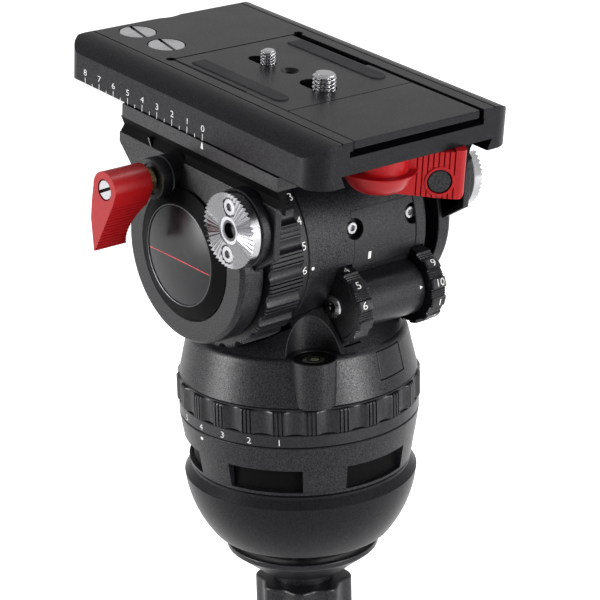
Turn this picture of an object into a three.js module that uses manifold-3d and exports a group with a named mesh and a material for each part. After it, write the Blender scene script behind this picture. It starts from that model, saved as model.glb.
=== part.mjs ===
// A fluid video head: half ball, pan unit, tilt unit with counterbalance, cradle, balance platform and
// camera plate.
// Millimetres. The origin is the centre of the half ball on the pan axis. +X is the operator's right,
// +Y points along the lens and +Z is up. The tilting pieces stand tilted a little, lens up.
import * as THREE from 'three';
import { mergeVertices } from 'three/addons/utils/BufferGeometryUtils.js';
import Module from 'manifold-3d';

const wasm = await Module();
wasm.setup();

// General values
const fitGap = 0.3;
const overrun = 3;
const weldDistance = 0.0001;
const largeSides = 36;
const mediumSides = 18;
const smallSides = 10;
const tinySides = 6;
const halfTurn = 180;
const fullTurn = 360;

// Half ball and its tie-down
const ball = {
  radius: 50, depth: 32, neckRadius: 46.9, neckDepth: 1.6, shoulderDepth: 5, arcSteps: 4,
};
const stud = { radius: 6, bottom: -86, top: 13 };
const cup = { rimRadius: 33, rimWidth: 5, bodyRadius: 20, height: 13, floor: 5, drop: 38 };
const knob = { radius: 21, height: 30, lobes: 8, lobeDepthShare: 0.12, collarRadius: 13, collarHeight: 6 };

// Fixed base under the pan drag ring: walls are counted from the core that carries the ring
const baseCore = { radius: 45.5, cavityRadius: 30, cavityFloor: 15 };
const baseWall = { bottom: 1.8, middle: 3.9, top: 5.5, recessInset: 0.1 };
const base = {
  bottomRadius: baseCore.radius + baseWall.bottom, bottomStraight: 1.4,
  midRadius: baseCore.radius + baseWall.middle, midHeight: 11,
  topRadius: baseCore.radius + baseWall.top, topHeight: 22.9,
};
const baseRecess = {
  count: 6, width: 38, low: 2, high: 12.4, floorRadius: baseCore.radius - baseWall.recessInset,
  firstAngle: -87.4, steps: 4,
};
const panAxle = { radius: 9, flangeRadius: 14, flangeHeight: 3, top: 56 };

// Pan drag ring
const panRingWall = { band: 5.5, grip: 6.2, lip: 4.8 };
const panRing = {
  low: base.topHeight + fitGap, high: 39.8, bandTop: 28.5, bandRadius: baseCore.radius + panRingWall.band,
  outerRadius: baseCore.radius + panRingWall.grip, lipRadius: baseCore.radius + panRingWall.lip,
  lipHeight: 0.9, pitch: 15,
};
// Shape of the grip of a drag ring, as shares of its pitch and depths
const grip = { scallopShare: 0.62, scallopDepth: 1.35, scallopSteps: 3, grooveDepth: 0.7, grooves: 2 };

// Pan housing, its shoulder and the level
const panStep = { low: 0.1, high: 3.7, top: 5.9, shoulder: 19.7, levelOutset: 0.1, leverBoss: 4.9 };
const pan = {
  low: panRing.high + fitGap, lowRadius: panRing.lipRadius + panStep.low,
  highRadius: panRing.lipRadius - panStep.high, edgeHeight: 57, topHeight: 59.6,
  topRadius: panRing.lipRadius - panStep.top, edgeRound: 1, shoulderHeight: 77,
  shoulderRadius: panRing.lipRadius - panStep.shoulder, boreCeiling: 57,
};
const panBearing = { outerRadius: 17, low: 42, high: 51 };
const level = {
  angle: -121, distance: pan.topRadius + panStep.levelOutset, glassRadius: 6.8, glassHeight: 5,
  rimRadius: 8.2, rimDepth: 0.8,
  bossRadius: 9.2, nicheRadius: 11.4, floor: 59.2,
};
const panCover = { from: -85.7, to: -67, low: 46, high: 57.4, thickness: 1.6 };

// Tilt axis
const tiltAxisHeight = 102.4;
const restTilt = 6.38;

// Tilt housing about the tilt axis
const housing = {
  radius: 38.7, left: -24.4, right: 32.6, leftSleeveInset: 5.7, rightSleeveInset: 8.7, sleeveEnd: 46.2,
  unitInset: 14,
};
const leftSleeveRadius = housing.radius - housing.leftSleeveInset;
const rightSleeveRadius = housing.radius - housing.rightSleeveInset;
const tiltAxle = { radius: 10, end: 51.4 };
const tiltBearing = { outerRadius: 17, width: 7 };
const dragUnit = { radius: housing.radius - housing.unitInset, left: -19.7, right: -2.3 };
const springUnit = { radius: housing.radius - housing.unitInset, left: 3.3, right: 24.7 };
const sideRing = { step: 0.7, stepStart: 37.3, end: 38.9 };
const panel = {
  left: -0.8, right: 32.3, topAngle: 20.6, bottomAngle: -15.9, thickness: 1.6, arcSteps: 6,
  pocketHeight: 6.5, pocketRadius: 4.4, pocketInset: 0.9, pocketDepth: 4.4,
};

// Tilt drag ring
const tiltRingWall = 2.7;
const tiltRing = {
  left: -46, right: housing.left - fitGap, bandLeft: -29, bandRadius: housing.radius,
  outerRadius: housing.radius + tiltRingWall, pitch: 15,
};

// Counterbalance unit, let into the rear of the tilt housing
const counter = { outset: 4.4, angleBelow: 35.3, barrelRadius: 12 };
const counterDistance = housing.radius + counter.outset;
const dial = {
  radius: 16.6, valleyDepth: 0.9, lobes: 12, lobeShare: 0.42, ribs: 3, ribDepth: 0.5, width: 7.6,
  rightStart: 30.3, leftStart: -9.4,
};
const dialCap = { radius: 13.4, thickness: 1.6 };
const dialShaft = { radius: 3 };

// Cheeks beside the tilt housing
const cheek = {
  outer: 51.7, plateInner: 48.5, drumInner: 46.7, top: 34.7, rear: -48.8, rearLow: 13, front: 53.3,
  frontCorner: 30.2, frontLow: 45.4, frontLowHeight: 23.1, webOuter: 49, webInner: 46.8, webTop: 41.2,
  webOverlap: 4,
};
const bezel = { outerRadius: 27.3, width: 6.6, crestInset: 5.8, crest: 2.4, lip: 2.7 };
const bezelInnerRadius = bezel.outerRadius - bezel.width;
const bezelCrestRadius = bezel.outerRadius - bezel.crestInset;
const drum = {
  faceWidth: 8, edge: 1.8, edgeDepth: 2, face: 57.6, recessRadius: bezel.outerRadius + fitGap,
  recessDepth: 1.6, rightInset: 3.4,
};
const drumFaceRadius = drum.recessRadius + drum.faceWidth;
const drumRadius = drumFaceRadius + drum.edge;
const dome = { radius: bezelInnerRadius - fitGap, edge: 2.2, crown: 4, arcSteps: 3 };

// Toothed rosettes that take the pan bars
const rosette = {
  y: -31.5, z: 21.7, radius: 15.1, thickness: 4.8, face: 61, teeth: 48, toothDepth: 1.1, hubRadius: 5.6,
  hubDepth: 0.7, boreRadius: 4, screwOffset: 9.8, screwRadius: 4, screwDepth: 1.6,
};
const rosetteBoss = { radius: 15.6 };
const shoulder = { start: 22, rear: -31.5, front: 15.5 };

// Cradle under the balance platform
const cradle = {
  halfWidth: 51.7, rear: -48.8, front: 51.5, low: 41.5, stripTop: 47.2, railTop: 51.8,
  archClearance: 3.3, notchHalfWidth: 24, notchFront: -38,
};
const rail = { topHalfWidth: 38.9, bottomHalfWidth: 36.7 };
const slidePad = { inset: 4, width: 7, rear: -20, front: 46, depth: 1.2 };

// Balance platform
const platform = {
  halfWidth: 51.7, rear: -70.8, front: 93, cornerRadius: 10.2, skirtBottom: 47.5, sideTop: 59.5, top: 65.4,
  shoulderHalfWidth: 39.7, undersideHeight: 52.1, frontRound: 3.4, rearChamfer: 0.8, grooveWidth: 0.7,
  grooveDepth: 0.6, skirtChamfer: 0.8, arcSteps: 6, cornerSteps: 8,
};
const channel = { left: -34, right: 33.5, slotLeft: -35.5, slotRight: 33.9, slotFloor: 59.1, slotTop: 61.5 };
const thumbNotch = { left: -8.5, right: 10.1, depth: 3.9 };
const spareScrew = { x: -23.9, frontY: 79.6, rearY: 59.3, headRadius: 7.75, headHeight: 2.4, shankLength: 8 };
const screwSlot = { width: 1.5, depth: 1 };

// Camera plate that slides in the platform
const plate = {
  left: -33.7, right: 31.5, frontLeft: -33, frontRight: 29.8, rear: -70.7, front: 42.5, reliefY: -4.5,
  bottom: 61.8, top: 65.4, chamfer: 0.8, lineY: -31.3, lineWidth: 0.5, lineDepth: 0.35, cornerRadius: 2,
};
const claw = { rear: -60, front: -5, bottom: 59.4, leftReach: 35.2, rightReach: 33.2, width: 5, top: 61.2 };
const jaw = { width: 1.4, bottom: 61.5, height: 1.7 };
const strip = {
  leftX: -26.25, rightX: 24.25, leftWidth: 6.9, rightWidth: 7.6, front: 34.5, rear: -21.4, proud: 0.5, sunk: 1,
};
const smallScrew = { x: -3.2, y: 18.1, radius: 3.175, height: 5.7 };
const largeScrew = { x: -3.8, y: -18, radius: 4.76, height: 6.3 };
const screwHead = { spread: 3.4, height: 1.7 };
const plateSlot = { travel: 7, clearance: 0.4 };
const plateHole = { x: -1.6, y: 5.9, sinkRadius: 4, radius: 2.3, sinkDepth: 1.5 };

// Red levers: a round hub with a serrated blade that hangs from it
const lever = {
  hubRadius: 7.5, length: 18, bladeDrop: 27.9, tipInner: 12, bladeCurve: 27, curveAngle: 54, frontBulge: 8.9,
  frontBulgeDrop: 14.7, tipLean: 6.6, tipWidth: 0.8, rearStart: -5.8, rearStartDrop: 4.8, serrations: 14,
  serrationDepth: 0.55, bendSteps: 5,
};
const leverScrew = { headRadius: 4, headHeight: 1.8, shankRadius: 2.5, reach: 9.5 };
const leverWasher = { radius: 5.2, length: 3.6 };
const leverBoss = { radius: 8.5, y: 15.5, z: 28.3, end: 63.5 };
const panLeverPlace = { angle: 45, height: 48.5, bossEnd: pan.highRadius + panStep.leverBoss };

// Release lever of the camera plate with its safety button, under the rear edge of the platform. Its values
// are counted from the pivot along the arm; the arm then turns by armAngle.
const release = {
  hubX: -7, hubY: -56, armAngle: -32, neckRadius: 11.5, flangeRadius: 15.2, flangeHeight: 44.3, bellyRadius: 12.6,
  bellyHeight: 40, footRadius: 11, footHeight: 37, bottomRadius: 9.4, bottom: 35.6, top: 51.8, faceOffset: 2.5,
  thickness: 7, end: 34.5, endRound: 2.6, endTop: 52.4, endStart: 29.8, armBottom: 32.9, armBottomX: 22.5,
  tipBottom: 32.2, tipX: 30.5, ribs: 8, ribStart: 14.3, ribPitch: 2.13, ribWidth: 0.9, ribDepth: 0.5,
};
const button = { x: 24.1, z: 39.7, radius: 4.9, ringRadius: 6.2, ringProud: 0.4, length: 2.6, travel: 1.5 };
const pivotPin = { radius: 2, bottom: 38, top: 57 };

// Small functions for angles, outlines and solids
const radians = (degrees) => THREE.MathUtils.degToRad(degrees);
const sine = (degrees) => Math.sin(radians(degrees));
const cosine = (degrees) => Math.cos(radians(degrees));

const xAxis = new THREE.Vector3(1, 0, 0);
const yAxis = new THREE.Vector3(0, 1, 0);
const zAxis = new THREE.Vector3(0, 0, 1);
const towardsX = new THREE.Matrix4().makeBasis(yAxis, zAxis, xAxis);
const towardsY = new THREE.Matrix4().makeBasis(xAxis, zAxis, yAxis.clone().negate());
const turnedX = new THREE.Matrix4().makeBasis(yAxis, xAxis, zAxis.clone().negate());

function arc(centreU, centreV, radius, from, to, steps) {
  const points = [];
  for (let i = 0; i <= steps; i += 1) {
    const angle = from + (to - from) * i / steps;
    points.push([centreU + radius * cosine(angle), centreV + radius * sine(angle)]);
  }
  return points;
}

function toSolid(geometry) {
  const bare = geometry.clone();
  for (const name of Object.keys(bare.attributes)) {
    if (name !== 'position') bare.deleteAttribute(name);
  }
  const merged = mergeVertices(bare, weldDistance);
  const corner = (index) => new THREE.Vector3().fromBufferAttribute(merged.attributes.position, index);
  const triangles = [];
  let volume = 0;
  for (let i = 0; i < merged.index.count; i += 3) {
    const a = merged.index.getX(i);
    const b = merged.index.getX(i + 1);
    const c = merged.index.getX(i + 2);
    if (a === b || b === c || c === a) continue;
    triangles.push([a, b, c]);
    volume += corner(a).dot(corner(b).cross(corner(c)));
  }
  const outward = volume < 0 ? triangles.map(([a, b, c]) => [a, c, b]) : triangles;
  const mesh = new wasm.Mesh({
    numProp: 3,
    vertProperties: new Float32Array(merged.attributes.position.array),
    triVerts: new Uint32Array(outward.flat()),
  });
  return new wasm.Manifold(mesh);
}

function toGeometry(solid) {
  const mesh = solid.getMesh();
  const geometry = new THREE.BufferGeometry();
  geometry.setAttribute('position', new THREE.BufferAttribute(new Float32Array(mesh.vertProperties), 3));
  geometry.setIndex(new THREE.BufferAttribute(new Uint32Array(mesh.triVerts), 1));
  geometry.computeVertexNormals();
  return geometry;
}

function extruded(points, depth) {
  const shape = new THREE.Shape(points.map(([u, v]) => new THREE.Vector2(u, v)));
  return new THREE.ExtrudeGeometry(shape, { depth, bevelEnabled: false });
}

// Prisms from an outline: YZ along X, XZ along Y and XY along Z
function prismX(points, from, to) {
  return toSolid(extruded(points, to - from).applyMatrix4(towardsX).translate(from, 0, 0));
}

function prismY(points, from, to) {
  return toSolid(extruded(points, to - from).applyMatrix4(towardsY).translate(0, to, 0));
}

function prismZ(points, from, to) {
  return toSolid(extruded(points, to - from).translate(0, 0, from));
}

const box = (x0, x1, y0, y1, z0, z1) => prismZ([[x0, y0], [x1, y0], [x1, y1], [x0, y1]], z0, z1);

// Turned solids from pairs of radius and place along the axis
function turned(profile, sides) {
  return new THREE.LatheGeometry(profile.map(([radius, along]) => new THREE.Vector2(radius, along)), sides);
}

function turnX(profile, sides, y = 0, z = 0) {
  return toSolid(turned(profile, sides).applyMatrix4(turnedX).translate(0, y, z));
}

function turnY(profile, sides, x = 0, z = 0) {
  return toSolid(turned(profile, sides).translate(x, 0, z));
}

function turnZ(profile, sides, x = 0, y = 0) {
  return toSolid(turned(profile, sides).applyMatrix4(towardsY).translate(x, y, 0));
}

const rodProfile = (radius, from, to) => [[0, from], [radius, from], [radius, to], [0, to]];
const ringProfile = (inner, outer, from, to) => [
  [inner, from], [outer, from], [outer, to], [inner, to], [inner, from],
];

function rodX(radius, from, to, y = 0, z = 0, sides = mediumSides) {
  return turnX(rodProfile(radius, from, to), sides, y, z);
}

function rodY(radius, from, to, x = 0, z = 0, sides = mediumSides) {
  return turnY(rodProfile(radius, from, to), sides, x, z);
}

function rodZ(radius, from, to, x = 0, y = 0, sides = mediumSides) {
  return turnZ(rodProfile(radius, from, to), sides, x, y);
}

// A stadium outline that runs along Y
function stadium(x, radius, from, to, steps) {
  return [...arc(x, to, radius, 0, halfTurn, steps), ...arc(x, from, radius, halfTurn, fullTurn, steps)];
}

// Part of a ring between two angles, wide enough to cut or keep a sector
function sector(inner, outer, from, to, steps) {
  return [...arc(0, 0, outer, from, to, steps), ...arc(0, 0, inner, to, from, steps)];
}

const finishes = {
  anodised: { color: 0x1b1b1e, roughness: 0.42, metalness: 0.55 },
  satin: { color: 0x242428, roughness: 0.5, metalness: 0.45 },
  casting: { color: 0x232326, roughness: 0.62, metalness: 0.3 },
  grey: { color: 0x3a3a3e, roughness: 0.5, metalness: 0.45 },
  polymer: { color: 0x18181a, roughness: 0.6, metalness: 0 },
  rubber: { color: 0x202022, roughness: 0.9, metalness: 0 },
  red: { color: 0xc01420, roughness: 0.35, metalness: 0.25 },
  silver: { color: 0xc9c9cc, roughness: 0.35, metalness: 0.9 },
  steel: { color: 0xb4b4b8, roughness: 0.25, metalness: 0.95 },
  brass: { color: 0xb58a45, roughness: 0.35, metalness: 0.9 },
  gloss: { color: 0x0c0c0e, roughness: 0.12, metalness: 0.1 },
  glass: { color: 0xb7bf9a, roughness: 0.08, metalness: 0 },
};

function piece(name, solid, finish) {
  const mesh = new THREE.Mesh(toGeometry(solid), new THREE.MeshStandardMaterial({ ...finishes[finish] }));
  mesh.name = name;
  return mesh;
}

// Outline of a drag ring's grip: shallow scallops with grooved lands between them
function gripOutline(radius, pitch, grooves) {
  const points = [];
  const count = Math.round(fullTurn / pitch);
  const step = fullTurn / count;
  const scallop = step * grip.scallopShare;
  const land = step - scallop;
  const at = (angle, depth) => [(radius - depth) * cosine(angle), (radius - depth) * sine(angle)];
  for (let i = 0; i < count; i += 1) {
    const start = i * step;
    for (let k = 1; k < grip.scallopSteps; k += 1) {
      const share = k / grip.scallopSteps;
      const depth = grip.scallopDepth * (1 - (share * 2 - 1) ** 2);
      points.push(at(start + scallop * share, depth));
    }
    for (let k = 0; k < grooves; k += 1) {
      const groove = land / grooves;
      const grooveStart = start + scallop + groove * k;
      points.push(at(grooveStart, 0), at(grooveStart + groove / 2, grip.grooveDepth));
    }
    points.push(at(start + step, 0));
  }
  return points;
}

// Half ball with its neck, the stud through it, the clamp cup and the knob
function halfBall() {
  const profile = [[stud.radius + fitGap, 0], [ball.neckRadius, 0], [ball.neckRadius, -ball.neckDepth]];
  const startAngle = Math.asin(ball.shoulderDepth / ball.radius);
  const endAngle = Math.asin(ball.depth / ball.radius);
  for (let i = 0; i <= ball.arcSteps; i += 1) {
    const angle = startAngle + (endAngle - startAngle) * i / ball.arcSteps;
    profile.push([ball.radius * Math.cos(angle), -ball.radius * Math.sin(angle)]);
  }
  profile.push([stud.radius + fitGap, -ball.depth], [stud.radius + fitGap, 0]);
  return turnZ(profile, largeSides);
}

function clampCup() {
  const top = -cup.drop;
  const low = top - cup.height;
  const bore = stud.radius + fitGap;
  const profile = [
    [bore, low], [cup.bodyRadius, low], [cup.rimRadius, top - cup.rimWidth / 2], [cup.rimRadius, top],
    [cup.rimRadius - cup.rimWidth, top], [cup.bodyRadius - cup.rimWidth, low + cup.floor],
    [bore, low + cup.floor], [bore, low],
  ];
  return turnZ(profile, mediumSides);
}

function tieDownKnob() {
  const top = -cup.drop - cup.height - fitGap;
  const gripTop = top - knob.collarHeight;
  const outline = [];
  const stepsPerLobe = 5;
  const count = knob.lobes * stepsPerLobe;
  for (let i = 0; i < count; i += 1) {
    const wave = 1 - knob.lobeDepthShare * (1 - cosine(fullTurn * i / stepsPerLobe)) / 2;
    const angle = fullTurn * i / count;
    outline.push([knob.radius * wave * cosine(angle), knob.radius * wave * sine(angle)]);
  }
  return prismZ(outline, top - knob.height, gripTop)
    .add(rodZ(knob.collarRadius, gripTop - overrun, top))
    .subtract(rodZ(stud.radius + fitGap, top - knob.height - overrun, top + overrun));
}

// Fixed base with its dark recesses, the core for the drag ring and the cavity for the damping unit
function fixedBase() {
  const low = fitGap;
  const body = turnZ([
    [0, low], [base.bottomRadius, low], [base.bottomRadius, low + base.bottomStraight],
    [base.midRadius, base.midHeight], [base.topRadius, base.topHeight], [baseCore.radius, base.topHeight],
    [baseCore.radius, panRing.high], [baseCore.cavityRadius, panRing.high],
    [baseCore.cavityRadius, baseCore.cavityFloor], [0, baseCore.cavityFloor],
  ], largeSides);
  const studTop = stud.top + fitGap;
  let cuts = rodZ(stud.radius + fitGap, low - overrun, studTop);
  for (let i = 0; i < baseRecess.count; i += 1) {
    const middle = baseRecess.firstAngle + fullTurn * i / baseRecess.count;
    const from = middle - baseRecess.width / 2;
    const outline = sector(
      baseRecess.floorRadius, base.topRadius + overrun, from, from + baseRecess.width, baseRecess.steps,
    );
    cuts = cuts.add(prismZ(outline, baseRecess.low, baseRecess.high));
  }
  return body.subtract(cuts);
}

function panDragRing() {
  const bore = baseCore.radius + fitGap;
  const band = turnZ(ringProfile(bore, panRing.bandRadius, panRing.low, panRing.bandTop), largeSides);
  const lipStart = panRing.high - panRing.lipHeight;
  const outline = gripOutline(panRing.outerRadius, panRing.pitch, grip.grooves);
  const gripBody = prismZ(outline, panRing.bandTop, lipStart)
    .subtract(rodZ(bore, panRing.bandTop - overrun, panRing.high + overrun, 0, 0, largeSides));
  const lip = turnZ(ringProfile(bore, panRing.lipRadius, lipStart, panRing.high), largeSides);
  return band.add(gripBody).add(lip);
}

// Point on the pan axis circle that carries the level
const levelX = level.distance * cosine(level.angle);
const levelY = level.distance * sine(level.angle);
const aboveBase = (height) => tiltAxisHeight + height;

// Radius of the pan housing's wall at a height
function panWallRadius(height) {
  const share = (height - pan.low) / (pan.edgeHeight - pan.low);
  return pan.lowRadius + (pan.highRadius - pan.lowRadius) * share;
}

function panWall(inset, low, high) {
  return turnZ([
    [0, low], [panWallRadius(low) - inset, low], [panWallRadius(high) - inset, high], [0, high],
  ], largeSides);
}

function panCoverSolid(gap) {
  const reach = pan.lowRadius + overrun;
  const gapAngle = THREE.MathUtils.radToDeg(gap / pan.highRadius);
  const outline = [[0, 0], ...arc(0, 0, reach, panCover.from - gapAngle, panCover.to + gapAngle, tinySides)];
  const low = panCover.low - gap;
  const high = panCover.high + gap;
  return panWall(-gap, low, high)
    .subtract(panWall(panCover.thickness + gap, low - overrun, high + overrun))
    .intersect(prismZ(outline, low, high));
}

function panHousing() {
  const boreTop = pan.boreCeiling;
  const bearingTop = panBearing.high + fitGap;
  let body = turnZ([
    [0, pan.low], [pan.lowRadius, pan.low], [pan.highRadius, pan.edgeHeight],
    [pan.highRadius - pan.edgeRound, pan.topHeight - pan.edgeRound / 2], [pan.topRadius, pan.topHeight],
    [pan.shoulderRadius, pan.shoulderHeight], [0, pan.shoulderHeight],
  ], largeSides);
  body = body.add(rodZ(level.bossRadius, pan.low + fitGap, pan.topHeight, levelX, levelY));
  body = body.add(panLeverBoss());
  const ringClear = tiltRing.outerRadius + fitGap * 2;
  const tiltSpace = rodX(ringClear, -cheek.outer, housing.left, 0, tiltAxisHeight, largeSides)
    .add(rodX(housing.radius + fitGap, housing.left - overrun, cheek.outer, 0, tiltAxisHeight, largeSides));
  const counterSpace = counterSpaceSolid().translate(0, 0, tiltAxisHeight);
  const bores = rodZ(panAxle.radius + fitGap, pan.low - overrun, boreTop, 0, 0, mediumSides)
    .add(rodZ(panBearing.outerRadius + fitGap, pan.low - overrun, bearingTop, 0, 0, mediumSides));
  const glassFloor = level.floor - level.glassHeight - fitGap;
  const levelCuts = rodZ(level.nicheRadius, pan.topHeight, pan.shoulderHeight + overrun, levelX, levelY)
    .add(rodZ(level.glassRadius + fitGap, glassFloor, pan.topHeight + overrun, levelX, levelY, mediumSides))
    .add(rodZ(level.rimRadius, level.floor - level.rimDepth, pan.topHeight + overrun, levelX, levelY));
  return body.subtract(tiltSpace).subtract(counterSpace).subtract(bores).subtract(levelCuts)
    .subtract(panCoverSolid(fitGap))
    .subtract(panLeverBore());
}

// Boss for the pan brake on the far side of the pan housing
function atPanLever(geometry) {
  return geometry.rotateZ(radians(panLeverPlace.angle)).translate(0, 0, panLeverPlace.height);
}

function panLeverBoss() {
  const inner = pan.highRadius - lever.hubRadius;
  const profile = rodProfile(leverBoss.radius, inner, panLeverPlace.bossEnd);
  return toSolid(atPanLever(turned(profile, mediumSides).applyMatrix4(turnedX)));
}

function panLeverBore() {
  const end = panLeverPlace.bossEnd;
  const bore = rodProfile(leverScrew.shankRadius + fitGap, end - leverScrew.reach - fitGap, end + overrun);
  return toSolid(atPanLever(turned(bore, smallSides).applyMatrix4(turnedX)));
}

// Tilt housing: the drum behind the platform, its sleeves, bearing seats and inner chambers
function panelOutline(gap) {
  const outer = housing.radius + overrun;
  const inner = housing.radius - panel.thickness - gap;
  const gapAngle = THREE.MathUtils.radToDeg(gap / housing.radius);
  const from = halfTurn - panel.topAngle - gapAngle;
  const to = halfTurn - panel.bottomAngle + gapAngle;
  return sector(inner, outer, from, to, panel.arcSteps);
}

const pocketLeftX = panel.left + panel.pocketInset;
const pocketRightX = panel.right - panel.pocketInset;

function pockets(depth) {
  const from = -housing.radius - overrun;
  const to = -housing.radius + depth;
  return rodY(panel.pocketRadius, from, to, pocketLeftX, panel.pocketHeight, smallSides)
    .add(rodY(panel.pocketRadius, from, to, pocketRightX, panel.pocketHeight, smallSides));
}

function tiltHousing() {
  const end = housing.sleeveEnd;
  const seat = tiltBearing.width + fitGap;
  const seatRadius = tiltBearing.outerRadius + fitGap;
  const body = turnX([
    [0, -end], [leftSleeveRadius, -end], [leftSleeveRadius, housing.left], [housing.radius, housing.left],
    [housing.radius, housing.right], [rightSleeveRadius, housing.right], [rightSleeveRadius, end], [0, end],
  ], largeSides);
  const cuts = rodX(tiltAxle.radius + fitGap, -end - overrun, end + overrun)
    .add(rodX(seatRadius, -end - overrun, -end + seat))
    .add(rodX(seatRadius, end - seat, end + overrun))
    .add(rodX(dragUnit.radius + fitGap, dragUnit.left - fitGap, dragUnit.right + fitGap))
    .add(rodX(springUnit.radius + fitGap, springUnit.left - fitGap, springUnit.right + fitGap))
    .add(prismX(panelOutline(fitGap), panel.left - fitGap, panel.right + overrun))
    .add(pockets(panel.pocketDepth))
    .add(dialSpace(dial.leftStart))
    .add(dialSpace(dial.rightStart));
  return body.subtract(cuts);
}

const counterY = -counterDistance * cosine(counter.angleBelow);
const counterZ = -counterDistance * sine(counter.angleBelow);
const barrelLeft = dial.leftStart + dial.width + fitGap;
const barrelRight = dial.rightStart - fitGap;

function dialSpace(start) {
  const clear = dial.radius + fitGap * 2;
  return rodX(clear, start - fitGap, start + dial.width + fitGap, counterY, counterZ);
}

// The room that the barrel and its two dials take in the pieces about them
function counterSpaceSolid() {
  return rodX(counter.barrelRadius + fitGap, barrelLeft - fitGap, barrelRight + fitGap, counterY, counterZ)
    .add(dialSpace(dial.leftStart)).add(dialSpace(dial.rightStart));
}

function coverPanel() {
  const skin = turnX(
    ringProfile(housing.radius - panel.thickness, housing.radius, panel.left, panel.right), largeSides,
  );
  return skin.intersect(prismX(panelOutline(0), panel.left - overrun, panel.right + overrun))
    .subtract(pockets(panel.pocketDepth)).subtract(dialSpace(dial.rightStart));
}

function sideRingSolid() {
  const start = housing.right + fitGap;
  const inner = rightSleeveRadius + fitGap;
  const stepRadius = housing.radius - sideRing.step;
  return turnX([
    [inner, start], [housing.radius, start], [housing.radius, sideRing.stepStart],
    [stepRadius, sideRing.stepStart], [stepRadius, sideRing.end],
    [inner, sideRing.end], [inner, start],
  ], largeSides).subtract(dialSpace(dial.rightStart));
}

function tiltDragRing() {
  const bore = leftSleeveRadius + fitGap;
  const gripBody = prismX(gripOutline(tiltRing.outerRadius, tiltRing.pitch, grip.grooves),
    tiltRing.left, tiltRing.bandLeft);
  const band = rodX(tiltRing.bandRadius, tiltRing.bandLeft, tiltRing.right, 0, 0, largeSides);
  return gripBody.add(band)
    .subtract(rodX(bore, tiltRing.left - overrun, tiltRing.right + overrun, 0, 0, largeSides));
}

// Counterbalance unit: barrel, two numbered dials, end caps let into the dials and the shaft
function shaftBore(from, to) {
  return rodX(dialShaft.radius + fitGap, from - overrun, to + overrun, counterY, counterZ, smallSides);
}

function counterBarrel() {
  return rodX(counter.barrelRadius, barrelLeft, barrelRight, counterY, counterZ)
    .subtract(rodX(housing.radius + fitGap, barrelLeft - overrun, barrelRight + overrun, 0, 0, largeSides))
    .subtract(shaftBore(barrelLeft, barrelRight));
}

function dialOutline() {
  const points = [];
  const step = fullTurn / dial.lobes;
  const lobe = step * dial.lobeShare;
  const valley = step - lobe;
  const at = (angle, depth) => [
    counterY + (dial.radius - depth) * cosine(angle), counterZ + (dial.radius - depth) * sine(angle),
  ];
  for (let i = 0; i < dial.lobes; i += 1) {
    const start = i * step;
    points.push(at(start, 0), at(start + lobe / 2, 0), at(start + lobe, 0));
    for (let k = 0; k < dial.ribs; k += 1) {
      const part = valley / (dial.ribs + 1);
      const place = start + lobe + part * (k + 1 / 2);
      points.push(at(place, dial.valleyDepth + dial.ribDepth), at(place + part / 2, dial.valleyDepth));
    }
    points.push(at(start + step - valley / (dial.ribs * 2 + 2), dial.valleyDepth + dial.ribDepth));
  }
  return points;
}

function dialSolid(start, recessFrom, recessTo) {
  const end = start + dial.width;
  return prismX(dialOutline(), start, end)
    .subtract(rodX(dialCap.radius + fitGap, recessFrom, recessTo, counterY, counterZ))
    .subtract(shaftBore(start, end));
}

function dialCapSolid(start) {
  const end = start + dialCap.thickness;
  return rodX(dialCap.radius, start, end, counterY, counterZ).subtract(shaftBore(start, end));
}

const capRecess = dialCap.thickness + fitGap;
const leftCapStart = dial.leftStart;
const rightCapEnd = dial.rightStart + dial.width;
const rightCapStart = rightCapEnd - dialCap.thickness;

// Cheeks: side is -1 for the left and 1 for the right
function span(side, near, far) {
  return side < 0 ? [-far, -near] : [near, far];
}

function cheekOutline() {
  const radius = drumRadius;
  const startAngle = 17;
  const endAngle = -187;
  return [
    [cheek.rear, cheek.rearLow], [cheek.rear, cheek.top], [cheek.front, cheek.top],
    [cheek.front, cheek.frontCorner], [cheek.frontLow, cheek.frontLowHeight],
    ...arc(0, 0, radius, startAngle, endAngle, mediumSides),
  ];
}

const rosetteBack = rosette.face - rosette.thickness - fitGap;

function rosetteSpace(side) {
  return rodX(rosette.radius + fitGap, ...span(side, rosetteBack, rosette.face + overrun), rosette.y, rosette.z);
}

// The drum on the right cheek reaches less far out than the one on the left
function drumFace(side) {
  return side > 0 ? drum.face - drum.rightInset : drum.face;
}

// The face of the drum runs on upwards between the two bosses and slopes back to the plate
function cheekShoulder(side) {
  const face = drumFace(side);
  const outline = [
    [cheek.plateInner, 0], [face, 0], [face, shoulder.start], [cheek.outer, cheek.top],
    [cheek.plateInner, cheek.top],
  ].map(([x, z]) => [side * x, z]);
  const depth = span(side, face - drum.recessDepth, face + overrun);
  const recess = rodX(drum.recessRadius, ...depth, 0, 0, largeSides);
  return prismY(side < 0 ? outline.reverse() : outline, shoulder.rear, shoulder.front).subtract(recess);
}

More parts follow.
